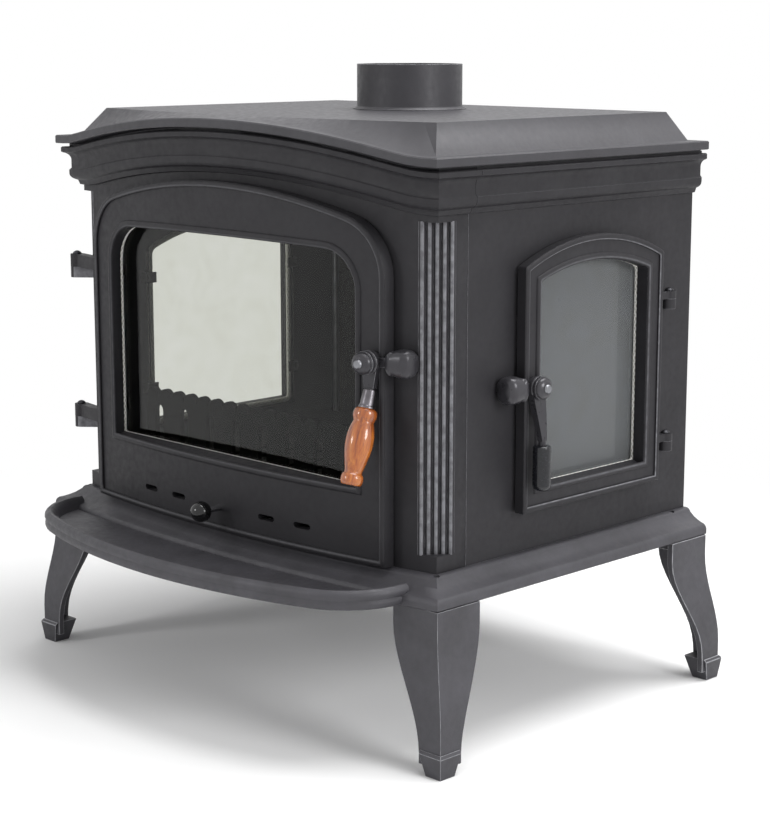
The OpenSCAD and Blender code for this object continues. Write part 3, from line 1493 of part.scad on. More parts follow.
base_plate();
leg_front_left();
leg_front_right();
leg_rear_left();
leg_rear_right();
leg_bolts();
ash_lip();
ash_lip_bolts();
front_frame();
right_panel();
left_panel();
rear_panel();
cornice_front();
cornice_right();
cornice_left();
top_plate();
flue_collar();
collar_bolts();
tie_rods();
front_hinge_pins();
side_hinge_pins();
front_catch();
front_catch_screws();
side_catch();
side_catch_screws();
left_glass();
left_glass_rope();
left_glass_clips();
hearth_plate();
grate();
grate_runners();
ash_pan();
log_guard();
fireback();
fireback_bolt();
baffle();
baffle_ledges();
front_door();
front_glass();
front_glass_rope();
front_glass_clips();
front_door_rope();
front_latch_lever();
front_latch_spindle();
front_ferrule();
front_grip();
air_plate();
air_rod();
air_knob();
side_door();
side_glass();
side_glass_rope();
side_glass_clips();
side_door_rope();
side_latch_lever();
side_latch_spindle();
side_grip();
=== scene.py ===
# %% [markdown]
# # A cast iron stove, dressed for its portrait
# The part arrives from CAD as a frame of castings, glass and fittings with real joints. This lesson keeps every
# place and size of that frame and gives each piece the look of the real thing: sand-cast iron under matt black
# stove polish, ceramic glass, braided glass-fibre rope, a lacquered wooden handle and bright little fittings.
# Everything is in metres, with the floor at z = 0 and the front of the stove towards -Y.

# %% The frame
import json
import math

import bmesh
import bpy
import numpy as np
from mathutils import Matrix, Vector

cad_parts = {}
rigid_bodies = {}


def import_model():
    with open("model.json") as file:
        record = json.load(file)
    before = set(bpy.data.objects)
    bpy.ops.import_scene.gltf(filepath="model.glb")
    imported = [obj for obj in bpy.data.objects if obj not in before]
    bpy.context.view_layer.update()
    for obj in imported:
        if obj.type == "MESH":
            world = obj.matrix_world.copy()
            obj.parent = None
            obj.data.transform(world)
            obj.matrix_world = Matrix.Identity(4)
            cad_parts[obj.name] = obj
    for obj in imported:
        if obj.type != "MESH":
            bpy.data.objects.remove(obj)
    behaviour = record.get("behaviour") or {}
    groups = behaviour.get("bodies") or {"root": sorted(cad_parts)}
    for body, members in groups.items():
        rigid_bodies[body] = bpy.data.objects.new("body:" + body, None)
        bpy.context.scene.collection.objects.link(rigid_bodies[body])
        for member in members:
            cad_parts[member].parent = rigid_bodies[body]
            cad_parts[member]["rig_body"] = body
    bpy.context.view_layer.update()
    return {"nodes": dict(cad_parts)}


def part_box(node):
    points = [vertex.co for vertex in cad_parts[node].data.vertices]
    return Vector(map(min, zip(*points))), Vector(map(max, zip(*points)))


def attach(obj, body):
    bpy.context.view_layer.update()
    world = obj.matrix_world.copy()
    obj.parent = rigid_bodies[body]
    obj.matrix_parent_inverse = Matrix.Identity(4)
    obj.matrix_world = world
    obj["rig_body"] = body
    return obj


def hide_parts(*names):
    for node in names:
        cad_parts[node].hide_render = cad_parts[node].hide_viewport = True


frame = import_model()
MM = 0.001

# %% [markdown]
# ## Colours and nodes
# A finish starts from a colour that a person can check against a paint card, so colours are written as sRGB
# codes and turned to linear light once, here. Every material below is a small net of nodes. One helper adds a
# node with its settings and its links, which keeps each net readable from top to bottom.

# %% Colour and node helpers
def linear(code):
    """sRGB code to linear light. Each channel c becomes c / 12.92 when small, else ((c + 0.055) / 1.055)^2.4."""
    c = np.array([int(code[i:i + 2], 16) for i in (1, 3, 5)]) / 255
    light = np.where(c <= 0.04045, c / 12.92, ((c + 0.055) / 1.055) ** 2.4)
    return (*light.tolist(), 1.0)


def add(net, kind, settings={}, links={}):
    """Adds one node to a net. Settings are the node's own properties or its input sockets, by name or number,
    and links join its inputs to the output sockets of earlier nodes."""
    made = net.nodes.new(kind)
    for key, value in settings.items():
        if isinstance(key, str) and key not in made.inputs:
            setattr(made, key, value)
        else:
            made.inputs[key].default_value = value
    for key, socket in links.items():
        net.links.new(socket, made.inputs[key])
    return made


def ramp(net, factor, stops):
    """Colour ramp with the given (place, sRGB code) stops, fed by a factor socket."""
    made = add(net, "ShaderNodeValToRGB", links={"Fac": factor})
    band = made.color_ramp
    while len(band.elements) < len(stops):
        band.elements.new(0.5)
    for element, (place, code) in zip(band.elements, stops):
        element.position, element.color = place, linear(code)
    return made.outputs["Color"]


def per_mm(size_mm):
    """Scale of a texture whose features are about size_mm across, when its coordinates are metres."""
    return 1 / (size_mm * MM)


def finish(name):
    """A new material with an empty net, its shader and its output."""
    made = bpy.data.materials.new(name)
    made.use_nodes = True
    net = made.node_tree
    net.nodes.clear()
    shader = add(net, "ShaderNodeBsdfPrincipled")
    add(net, "ShaderNodeOutputMaterial", links={"Surface": shader.outputs["BSDF"]})
    return made, net, shader


print("mid grey #808080 in linear light:", round(linear("#808080")[0], 4))

# %% [markdown]
# ## Cast iron under stove polish
# Grey iron is poured into sand, so its skin keeps a fine pebbled grain about a millimetre across. Stove polish,
# which is graphite in wax, fills it with a matt black that turns silvery where hands, cloths and transport rub
# it: on the rims of doors, on mouldings and on the corners of reeds. An image texture could show this, but a
# procedural net has no seams and keeps its real scale on every piece. Each casting carries a value on the
# narrow faces of its rounded edges, and the net breaks that value up with noise before it lightens them. That
# lighter edge is partly the rubbed polish and partly a painted highlight: the line of light a rounded edge catches.

# %% Cast iron
def cast_iron(name, skin, wear_and_highlight, grit_mm=1.3, grit_depth_mm=0.16, rough=(0.46, 0.62), metal=0.2, shade_mm=60,
              shine=0.5):
    """Sand-cast iron: a dark skin with slow mottling, a pebbled bump and lighter edges (wear and painted highlight).
    """
    made, net, shader = finish(name)
    place = add(net, "ShaderNodeTexCoord").outputs["Object"]
    slow = add(net, "ShaderNodeTexNoise", {"Scale": per_mm(shade_mm), "Detail": 5.0, "Roughness": 0.6},
               {"Vector": place})
    grit = add(net, "ShaderNodeTexNoise", {"Scale": per_mm(grit_mm), "Detail": 3.0, "Roughness": 0.55},
               {"Vector": place})
    patch = add(net, "ShaderNodeTexNoise", {"Scale": per_mm(9), "Detail": 3.0}, {"Vector": place})
    shade = ramp(net, slow.outputs["Fac"], [(0.3, skin[0]), (0.7, skin[1])])
    # Painted highlight with wear: the edge value, broken up by noise, mixes the skin towards the lighter edge colour.
    edge_wear_and_highlight = add(net, "ShaderNodeAttribute", {"attribute_name": "wear_and_highlight"})
    chance = add(net, "ShaderNodeMapRange", {"From Min": 0.36, "From Max": 0.62, "To Min": 0.45, "To Max": 0.9},
                 {"Value": patch.outputs["Fac"]})
    rub_and_highlight = add(net, "ShaderNodeMath", {"operation": "MULTIPLY"},
                 {0: edge_wear_and_highlight.outputs["Fac"], 1: chance.outputs["Result"]})
    colour = add(net, "ShaderNodeMix", {"data_type": "RGBA", 7: linear(wear_and_highlight)},
                 {0: rub_and_highlight.outputs["Value"], 6: shade})
    gloss = add(net, "ShaderNodeMapRange", {"From Min": 0.3, "From Max": 0.7, "To Min": rough[0], "To Max": rough[1]},
                {"Value": patch.outputs["Fac"]})
    bump = add(net, "ShaderNodeBump", {"Strength": 0.6, "Distance": grit_depth_mm * MM},
               {"Height": grit.outputs["Fac"]})
    net.links.new(colour.outputs[2], shader.inputs["Base Color"])
    net.links.new(gloss.outputs["Result"], shader.inputs["Roughness"])
    net.links.new(bump.outputs["Normal"], shader.inputs["Normal"])
    shader.inputs["Metallic"].default_value = metal
    shader.inputs["Specular IOR Level"].default_value = shine
    return made


# Matt graphite polish: the eye gets a near-black with a soft silvery bloom at grazing angles.
polished_iron = cast_iron("cast_iron_graphite_polish", ("#272629", "#2d2c2f"), "#8e8e93", metal=0.1, shine=0.27)
# The lid and the flue collar are a little more burnished, and their skin is painted lighter for the light from above.
lid_iron_painted_lighter = cast_iron("cast_iron_lid_painted_lighter", ("#343337", "#3d3c40"), "#a2a2a6", rough=(0.42, 0.56))
# Legs are poured in coarser sand and painted, so the grain shows.
leg_iron = cast_iron("cast_iron_coarse_legs", ("#3b3a3e", "#48474c"), "#9a9a9e", grit_mm=2.2, grit_depth_mm=0.4,
                     rough=(0.45, 0.6))
# Handles and catches are rubbed by hands and read as a smooth satin.
satin_iron = cast_iron("cast_iron_hand_rubbed", ("#333236", "#403f43"), "#98989c", grit_mm=1.0, grit_depth_mm=0.07,
                       rough=(0.26, 0.36), metal=0.35)
# Inside the fire the iron is dull, with no polish left; its near-black is soot and, in part, painted shade of the
# firebox.
sooty_iron_painted_shade = cast_iron("cast_iron_bare_inside_painted_shade", ("#0e0e0e", "#191818"), "#3a3938", rough=(0.6, 0.8), metal=0.0,
                       shine=0.06)
print("iron finishes:", [m.name for m in bpy.data.materials])

# %% [markdown]
# ## Steel, glass, rope, brick, wood and plastic
# The small fittings are what make the iron read as iron, because they bring other ways of taking light: zinc-dull
# steel bolts, a bright drawn rod, a moulded black knob, white fibre rope and a lacquered handle.

# %% Metal fittings
def drawn_metal(name, colour, rough, grain_mm, bump_mm):
    """Machined or rolled metal: full metal with a fine grain in its roughness and a shallow bump."""
    made, net, shader = finish(name)
    place = add(net, "ShaderNodeTexCoord").outputs["Object"]
    grain = add(net, "ShaderNodeTexNoise", {"Scale": per_mm(grain_mm), "Detail": 4.0}, {"Vector": place})
    slow = add(net, "ShaderNodeTexNoise", {"Scale": per_mm(18), "Detail": 2.0}, {"Vector": place})
    tint = ramp(net, slow.outputs["Fac"], [(0.3, colour[0]), (0.7, colour[1])])
    gloss = add(net, "ShaderNodeMapRange", {"From Min": 0.3, "From Max": 0.7, "To Min": rough[0], "To Max": rough[1]},
                {"Value": grain.outputs["Fac"]})
    bump = add(net, "ShaderNodeBump", {"Strength": 0.4, "Distance": bump_mm * MM}, {"Height": grain.outputs["Fac"]})
    net.links.new(tint, shader.inputs["Base Color"])
    net.links.new(gloss.outputs["Result"], shader.inputs["Roughness"])
    net.links.new(bump.outputs["Normal"], shader.inputs["Normal"])
    shader.inputs["Metallic"].default_value = 1.0
    return made


# Zinc-plated steel: cool grey, half matt, a little cloudy.
bolt_steel = drawn_metal("steel_zinc_bolts", ("#7f8083", "#94959a"), (0.35, 0.5), 0.8, 0.05)
# Blackened steel hinge pins: dark and satin.
pin_steel = drawn_metal("steel_blackened_pins", ("#3a3a3d", "#48484c"), (0.38, 0.5), 0.8, 0.04)
# Sheet steel of the ash pan and clips, grey from heat.
pan_steel = drawn_metal("steel_sheet_heat_greyed", ("#5d5c5e", "#6e6c6b"), (0.4, 0.6), 2.5, 0.08)
# Steel ferrule above the wooden grip, brushed round.
ferrule_steel = drawn_metal("steel_ferrule_brushed", ("#5b585b", "#78757a"), (0.28, 0.4), 0.6, 0.03)
# Chrome-plated rod of the air control: bright and nearly mirror smooth.
rod_chrome = drawn_metal("chrome_rod", ("#c9cacc", "#dcdddf"), (0.08, 0.16), 0.5, 0.01)
print("metals made")

# %% Glass
def ceramic_glass(name, tint, smear, clear=1.0):
    """Ceramic stove glass, 4 mm thick, with faint smears that change its roughness. A pane that smoke has fogged
    lets less light through: the share 1 - clear of it is scattered by the grey film."""
    made, net, shader = finish(name)
    place = add(net, "ShaderNodeTexCoord").outputs["Object"]
    wipe = add(net, "ShaderNodeTexNoise", {"Scale": per_mm(70), "Detail": 3.0, "Distortion": 1.5}, {"Vector": place})
    haze = add(net, "ShaderNodeMapRange", {"From Min": 0.45, "From Max": 0.75, "To Min": 0.0, "To Max": smear},
               {"Value": wipe.outputs["Fac"]})
    body = ramp(net, wipe.outputs["Fac"], [(0.35, tint[0]), (0.75, tint[1])])
    net.links.new(body, shader.inputs["Base Color"])
    net.links.new(haze.outputs["Result"], shader.inputs["Roughness"])
    shader.inputs["Transmission Weight"].default_value = clear
    shader.inputs["Specular Tint"].default_value = (0.08, 0.08, 0.085, 1)  # painted dark reflection, standing in for a dark room in front
    shader.inputs["IOR"].default_value = 1.5
    return made


# Clear pane: the eye sees through it and gets a thin veil of the room at a slant.
clear_glass = ceramic_glass("ceramic_glass_clear", ("#e6e7e3", "#e2e3dd"), 0.008)
# The side pane stands over the hottest embers, so a milky grey film of smoke hides most of what is behind it.
fogged_glass = ceramic_glass("ceramic_glass_fogged", ("#8f9295", "#8a8c8c"), 0.015, clear=0.6)
print("glass made")

# %% Fibre rope, brick, wood and plastic
def fibre_rope(name, light, valley_shade_colour):
    """Braided glass-fibre rope: matt off-white with painted shade between the strands, and a soft sheen of loose
    fibres.
    """
    made, net, shader = finish(name)
    place = add(net, "ShaderNodeTexCoord").outputs["Object"]
    valley_shade = add(net, "ShaderNodeAttribute", {"attribute_name": "valley_shade"})
    dust = add(net, "ShaderNodeTexNoise", {"Scale": per_mm(14), "Detail": 4.0}, {"Vector": place})
    fuzz = add(net, "ShaderNodeTexNoise", {"Scale": per_mm(0.5), "Detail": 2.0}, {"Vector": place})
    shade = ramp(net, dust.outputs["Fac"], [(0.25, light[1]), (0.6, light[0])])
    colour = add(net, "ShaderNodeMix", {"data_type": "RGBA", 7: linear(valley_shade_colour)},
                 {0: valley_shade.outputs["Fac"], 6: shade})
    bump = add(net, "ShaderNodeBump", {"Strength": 0.5, "Distance": 0.2 * MM}, {"Height": fuzz.outputs["Fac"]})
    net.links.new(colour.outputs[2], shader.inputs["Base Color"])
    net.links.new(bump.outputs["Normal"], shader.inputs["Normal"])
    shader.inputs["Roughness"].default_value = 0.9
    shader.inputs["Sheen Weight"].default_value = 0.3
    return made


def fire_brick(name, face, joint_dark):
    """Cast lining with the grain of fired clay and soot in slow clouds, in the face colours it is given."""
    made, net, shader = finish(name)
    place = add(net, "ShaderNodeTexCoord").outputs["Object"]
    soot = add(net, "ShaderNodeTexNoise", {"Scale": per_mm(150), "Detail": 5.0}, {"Vector": place})
    grain = add(net, "ShaderNodeTexNoise", {"Scale": per_mm(6), "Detail": 2.0, "Roughness": 0.5}, {"Vector": place})
    clay = ramp(net, grain.outputs["Fac"], [(0.3, face[1]), (0.65, face[0])])
    cloud = add(net, "ShaderNodeMapRange", {"From Min": 0.4, "From Max": 0.75, "To Min": 0.0, "To Max": 0.55},
                {"Value": soot.outputs["Fac"]})
    colour = add(net, "ShaderNodeMix", {"data_type": "RGBA", 7: linear(joint_dark)},
                 {0: cloud.outputs["Result"], 6: clay})
    bump = add(net, "ShaderNodeBump", {"Strength": 0.4, "Distance": 0.4 * MM}, {"Height": grain.outputs["Fac"]})
    net.links.new(colour.outputs[2], shader.inputs["Base Color"])
    net.links.new(bump.outputs["Normal"], shader.inputs["Normal"])
    shader.inputs["Roughness"].default_value = 0.9
    shader.inputs["Specular IOR Level"].default_value = 0.1
    return made


def lacquered_wood(name, stops):
    """Turned hardwood under clear lacquer: long grain along the handle, fine pores, and a coat that mirrors lamps."""
    made, net, shader = finish(name)
    grain = add(net, "ShaderNodeAttribute", {"attribute_name": "along_grain"}).outputs["Vector"]
    rings = add(net, "ShaderNodeTexNoise", {"Scale": per_mm(5), "Detail": 5.0, "Roughness": 0.6, "Distortion": 0.6},
                {"Vector": grain})
    pores = add(net, "ShaderNodeTexNoise", {"Scale": per_mm(0.9), "Detail": 2.0}, {"Vector": grain})
    tone = ramp(net, rings.outputs["Fac"], stops)
    pit = add(net, "ShaderNodeMapRange", {"From Min": 0.55, "From Max": 0.72, "To Min": 0.0, "To Max": 0.45},
              {"Value": pores.outputs["Fac"]})
    colour = add(net, "ShaderNodeMix", {"data_type": "RGBA", 7: linear("#5c2c10")},
                 {0: pit.outputs["Result"], 6: tone})
    net.links.new(colour.outputs[2], shader.inputs["Base Color"])
    shader.inputs["Roughness"].default_value = 0.42
    shader.inputs["Coat Weight"].default_value = 1.0
    shader.inputs["Coat Roughness"].default_value = 0.06
    return made


def moulded_plastic(name, shade, rough):
    """Compression-moulded heat-proof plastic: black, glossy, with a faint orange-peel ripple."""
    made, net, shader = finish(name)
    place = add(net, "ShaderNodeTexCoord").outputs["Object"]
    ripple = add(net, "ShaderNodeTexNoise", {"Scale": per_mm(3), "Detail": 1.0}, {"Vector": place})
    tint = ramp(net, ripple.outputs["Fac"], [(0.35, shade[0]), (0.7, shade[1])])
    gloss = add(net, "ShaderNodeMapRange", {"From Min": 0.3, "From Max": 0.7, "To Min": rough[0], "To Max": rough[1]},
                {"Value": ripple.outputs["Fac"]})
    bump = add(net, "ShaderNodeBump", {"Strength": 0.3, "Distance": 0.05 * MM}, {"Height": ripple.outputs["Fac"]})
    net.links.new(tint, shader.inputs["Base Color"])
    net.links.new(gloss.outputs["Result"], shader.inputs["Roughness"])
    net.links.new(bump.outputs["Normal"], shader.inputs["Normal"])
    return made


white_rope = fibre_rope("glass_fibre_rope_white", ("#fbfaf6", "#e9e7df"), "#98958b")
# Painted shade: the lining's face is given a dark grey rather than fired clay's pale grey-beige, for the shade inside
# the firebox; the darker clouds are soot.
sooted_brick_painted_shade = fire_brick("fire_brick_sooted_painted_shade", ("#403e39", "#33302c"), "#191816")
handle_wood = lacquered_wood("beech_red_lacquered", [(0.3, "#65290c"), (0.5, "#a25210"), (0.72, "#be7120")])
knob_plastic = moulded_plastic("phenolic_knob_gloss", ("#0c0c0d", "#121213"), (0.08, 0.14))
grip_plastic = moulded_plastic("phenolic_grip_gloss", ("#131418", "#1b1c21"), (0.18, 0.28))
print("materials in all:", len(bpy.data.materials))

# %% [markdown]
# ## Castings with rounded edges
# No casting leaves the sand with a knife edge: corners come out with a radius of one to four millimetres, and
# that radius is what catches the light. The frame's own skin already has the right shape, so the surest way is
# to copy it, join its loose triangles, melt flat triangles back into whole faces, and roll every outward edge
# over. The narrow faces that this makes are marked for the iron's material, which lightens them: partly wear,
# partly a painted highlight. The copy rides on the same body as the original and stands in for it.

# %% The bow of the front, in millimetres
BODY_HALF, BOW_DEPTH, FRONT, SET_BACK = 360.0, 34.0, -258.0, 86.0
BOW_RADIUS = (BODY_HALF ** 2 + BOW_DEPTH ** 2) / (2 * BOW_DEPTH)
BOW_CENTRE = FRONT - BOW_DEPTH + BOW_RADIUS


def bowed_y(x, out):
    """Distance behind the origin, in millimetres, of the bowed front grown outward by out, at x from the middle."""
    return BOW_CENTRE - np.sqrt((BOW_RADIUS + out) ** 2 - x ** 2) + SET_BACK


print("radius of the bow:", round(BOW_RADIUS, 1), "mm")

# %% Rounding a casting
CREASE = math.radians(34)      # an edge that turns by more than this is a corner, and not part of a curve
BOWED = ("front_door", "front_frame")
CREST_FROM, CREST_FULL, CREST_SHARE = 0.84, 0.90, 0.8    # where the painted highlight and wear start and are full, and how strong they are there
MELT = math.radians(0.15)      # triangles flatter than this to each other belong to one face


def volume_of(shape):
    """Volume in cubic metres, used to see that rounding keeps a casting whole."""
    return abs(shape.calc_volume(signed=True))


def read(items, key, width=1, kind=np.float32):
    """One property of every vertex, corner or face as an array."""
    values = np.empty(len(items) * width, kind)
    items.foreach_get(key, values)
    return values.reshape(-1, width) if width > 1 else values


def bow_shading(mesh):
    """Exact shading for the bowed skin. The bow is cut into flat strips, and a strip's corner shades right only
    with the bow's own radius there; edges rolled off the bow start from that radius too."""
    vertex = read(mesh.loops, "vertex_index", 1, np.int32)
    face = np.repeat(np.arange(len(mesh.polygons)), read(mesh.polygons, "loop_total", 1, np.int32))
    flat = read(mesh.polygons, "normal", 3)[face]
    soft = read(mesh.corner_normals, "vector", 3)
    ray = read(mesh.vertices, "co", 3)[vertex] - np.array([0, (BOW_CENTRE + SET_BACK) * MM, 0])
    ray[:, 2] = 0
    ray /= np.linalg.norm(ray, axis=1)[:, None]
    facing = (flat * ray).sum(1)
    for side in (1, -1):
        on_bow = np.zeros(len(mesh.vertices), bool)
        on_bow[vertex[side * facing > math.cos(math.radians(1.5))]] = True
        chosen = on_bow[vertex] & (side * facing > math.cos(CREASE))
        soft[chosen] = side * ray[chosen]
    mesh.normals_split_custom_set(soft.tolist())


def crest_wear_and_highlight(mesh):
    """Painted highlight and wear on the crests of the reeds, whose faces look out across the front corners of the
    body. Across is the face's normal along that diagonal: 1 on a crest, about 0.7 on the flat walls and up to 0.83
    at the bow's ends."""
    normal = read(mesh.polygons, "normal", 3)
    across = (np.abs(normal[:, 0]) - normal[:, 1]) / math.sqrt(2)
    old = read(mesh.attributes["wear_and_highlight"].data, "value")
    new = np.maximum(old, CREST_SHARE * np.clip((across - CREST_FROM) / (CREST_FULL - CREST_FROM), 0, 1))
    mesh.attributes["wear_and_highlight"].data.foreach_set("value", new.astype(np.float32))


def rounded_casting(node, radius_mm, material, slot, steps=2):
    """Copy of a frame node whose outward edges are rolled to a radius, in the given finish."""
    source = frame["nodes"][node]
    shape = bmesh.new()
    shape.from_mesh(source.data)
    bmesh.ops.remove_doubles(shape, verts=shape.verts, dist=2e-6)
    bmesh.ops.dissolve_limit(shape, angle_limit=MELT, verts=shape.verts, edges=shape.edges)
    before = volume_of(shape)
    corners = [e for e in shape.edges if e.is_manifold and e.is_convex and e.calc_face_angle(0) > CREASE
               and e.calc_length() > 0.2 * MM]
    wear_and_highlight = shape.faces.layers.float.new("wear_and_highlight")
    rolled = bmesh.ops.bevel(shape, geom=corners, offset=radius_mm * MM, offset_type="OFFSET", segments=steps,
                             profile=0.5, affect="EDGES", clamp_overlap=True, miter_outer="SHARP")
    # Every rolled face is marked in full, for wear and a painted highlight along the edge.
    for face in rolled["faces"]:
        face[wear_and_highlight] = 1.0
    after = volume_of(shape)
    mesh = bpy.data.meshes.new(node + "_casting")
    shape.to_mesh(mesh)
    faces = len(shape.faces)
    shape.free()
    mesh.materials.append(material)
    mesh.shade_smooth()
    mesh.set_sharp_from_angle(angle=CREASE)
    piece = bpy.data.objects.new(node + "_casting", mesh)
    bpy.context.scene.collection.objects.link(piece)
    if node in BOWED:
        bow_shading(mesh)
    else:
        soft = piece.modifiers.new("even_shading", "WEIGHTED_NORMAL")
        soft.keep_sharp = True
    # Painted highlight, with wear, on the crests of the front frame's reeds.
    if node == "front_frame":
        crest_wear_and_highlight(mesh)
    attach(piece, source["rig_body"])
    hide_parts(node)
    print(f"{node}: {len(corners)} edges rolled, {faces} faces, volume {100 * (after / before - 1):+.2f}%")
    return piece


# %% Which node is cast in what
CASTINGS = [
    (1.2, polished_iron, "cast", ["front_frame", "right_panel", "left_panel", "rear_panel",
                                  "cornice_front", "cornice_right", "cornice_left"]),
    (1.5, polished_iron, "cast", ["front_door", "side_door"]),
    (2.4, lid_iron_painted_lighter, "lid_cast", ["top_plate", "flue_collar"]),
    (2.0, leg_iron, "leg_cast", ["base_plate", "ash_lip"]),
    (3.0, leg_iron, "leg_cast", ["leg_front_left", "leg_front_right", "leg_rear_left", "leg_rear_right"]),
    (1.6, satin_iron, "catch_cast", ["front_latch_lever", "side_latch_lever"]),
    (1.0, sooty_iron_painted_shade, "inner_cast", ["hearth_plate", "grate", "grate_runners", "log_guard", "baffle_ledges",
                                     "air_plate"]),
    (1.2, sooted_brick_painted_shade, "brick", ["fireback", "baffle"]),
    (0.5, bolt_steel, "bolt", ["leg_bolts", "ash_lip_bolts", "collar_bolts", "tie_rods", "front_catch_screws",
                               "side_catch_screws", "fireback_bolt", "front_latch_spindle", "side_latch_spindle"]),
    (0.6, pin_steel, "bolt", ["front_hinge_pins", "side_hinge_pins"]),
    (0.4, pan_steel, "sheet", ["ash_pan", "left_glass_clips", "front_glass_clips", "side_glass_clips"]),
    (0.6, ferrule_steel, "ferrule", ["front_ferrule"]),
    (0.4, clear_glass, "glass", ["left_glass", "front_glass"]),
    (0.4, fogged_glass, "glass", ["side_glass"]),
    (0.4, rod_chrome, "rod_chrome", ["air_rod"]),
]
pieces = {node: rounded_casting(node, radius, material, slot)
          for radius, material, slot, nodes in CASTINGS for node in nodes}

# %% [markdown]
# ## Surfaces worked out with numpy
# Turned and braided pieces are better drawn than rounded. Each is a grid of points given by two parameters, one
# round the piece and one along it, computed as whole arrays. One helper turns such a grid into a closed skin.

# %% From a grid to a skin
def skin(name, grid, node, material, slot, ring=True, loop=False, point_values={}, stands_in=True):
    """Mesh of a grid of points, shape (along, round, 3). It closes round each row when ring is true, and from the
    last row to the first when loop is true; otherwise the first and last rows are single points or flat ends.
    It rides with a node of the frame, and stands in for it unless it only adds to it."""
    rows, columns, _ = grid.shape
    i = np.arange(rows if loop else rows - 1)[:, None]
    j = np.arange(columns if ring else columns - 1)[None, :]
    a = i * columns + j
    b = i * columns + (j + 1) % columns
    c = ((i + 1) % rows) * columns + (j + 1) % columns
    d = ((i + 1) % rows) * columns + j
    quads = np.stack([a, b, c, d], -1).reshape(-1, 4)
    mesh = bpy.data.meshes.new(name)
    mesh.from_pydata(grid.reshape(-1, 3).tolist(), [], quads.tolist())
    for key, values in point_values.items():
        kind = "FLOAT_VECTOR" if values.shape[-1] == 3 else "FLOAT"
        field = mesh.attributes.new(key, kind, "POINT")
        field.data.foreach_set("vector" if kind == "FLOAT_VECTOR" else "value",
                               values.astype(np.float32).ravel())
    shape = bmesh.new()
    shape.from_mesh(mesh)
    bmesh.ops.remove_doubles(shape, verts=shape.verts, dist=1e-6)
    bmesh.ops.recalc_face_normals(shape, faces=shape.faces)
    shape.to_mesh(mesh)
    shape.free()
    mesh.materials.append(material)
    mesh.shade_smooth()
    piece = bpy.data.objects.new(name, mesh)
    bpy.context.scene.collection.objects.link(piece)
    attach(piece, frame["nodes"][node]["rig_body"])
    if stands_in:
        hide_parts(node)
    print(f"{name}: {len(quads)} quads")
    return piece


# %% [markdown]
# ## Rope seals
# The rope round each pane and behind each door is braided from glass fibre. Its section is an oval, pressed a
# little flat, and its strands cross in two directions, so its radius follows two families of waves that wind
# round it in opposite senses. The higher wave wins at each point, which is how a braid looks.

# %% Outlines of doors and panes
def arc(centre, radius, start, end, count):
    """Points on a circle from a start angle to an end angle, in degrees."""
    t = np.radians(np.linspace(start, end, count))
    return np.stack([centre[0] + radius * np.cos(t), centre[1] + radius * np.sin(t)], -1)


def arched(half, low, high, top_radius, shoulder):
    """Upright outline with a flat foot, straight sides, round shoulders and an arched top, all in one unit."""
    lean = math.degrees(math.asin((half - shoulder) / (top_radius - shoulder)))
    rise = high - top_radius + (top_radius - shoulder) * math.cos(math.radians(lean))
    return np.concatenate([
        [[-half, low], [half, low]],
        arc((half - shoulder, rise), shoulder, 0, 90 - lean, 12),
        arc((0, high - top_radius), top_radius, 90 - lean, 90 + lean, 40),
        arc((shoulder - half, rise), shoulder, 90 + lean, 180, 12)])


def evenly(outline, step, ease):
    """The closed outline walked at equal steps, with each point averaged over the length ease, which rounds it."""
    closed = np.vstack([outline, outline[:1]])
    walked = np.concatenate([[0], np.cumsum(np.linalg.norm(np.diff(closed, axis=0), axis=1))])
    count = int(round(walked[-1] / step))
    at = np.linspace(0, walked[-1], count, endpoint=False)
    even = np.stack([np.interp(at, walked, closed[:, k]) for k in (0, 1)], -1)
    reach = max(1, int(ease / step / 2))
    window = np.arange(-reach, reach + 1)
    return even[(np.arange(count)[:, None] + window) % count].mean(axis=1)


# %% Braiding a rope
STRANDS = 5                    # waves of each family round the rope
ROUND = 30                     # points round its section


def braided_rope(node, outline, to_space, out_axis, width, depth, step, pitch):
    """Rope along a closed outline. At angle a round the section and distance s along it, the radius is
    1 - 0.16 (1 - w), with w the larger of |sin(n a + s)| and |sin(n a - s)|."""
    flat = evenly(outline, step, 2 * width)
    ahead = np.roll(flat, -1, 0) - np.roll(flat, 1, 0)
    ahead /= np.linalg.norm(ahead, axis=1)[:, None]
    across = np.stack([ahead[:, 1], -ahead[:, 0]], -1)
    s = np.arange(len(flat)) * step
    turns = round(s[-1] / pitch)
    phase = (np.pi * turns * np.arange(len(flat)) / len(flat))[:, None]
    a = np.linspace(0, 2 * np.pi, ROUND, endpoint=False)[None, :]
    wave = np.maximum(np.abs(np.sin(STRANDS / 2 * a + phase)), np.abs(np.sin(STRANDS / 2 * a - phase)))
    r = 1 - 0.16 * (1 - wave)
    offset = flat[:, None, :] + across[:, None, :] * (width / 2 * np.cos(a) * r)[..., None]
    grid = to_space(offset) + np.array(out_axis) * (depth / 2 * np.sin(a) * r)[..., None]
    # Painted shade: the rope darkens where the braid's wave is low, between the strands.
    valley_shade = np.clip((0.9 - wave) * 2.2, 0, 1)
    return skin(node + "_braid", grid, node, white_rope, "rope", loop=True,
                point_values={"valley_shade": valley_shade.reshape(-1, 1)})


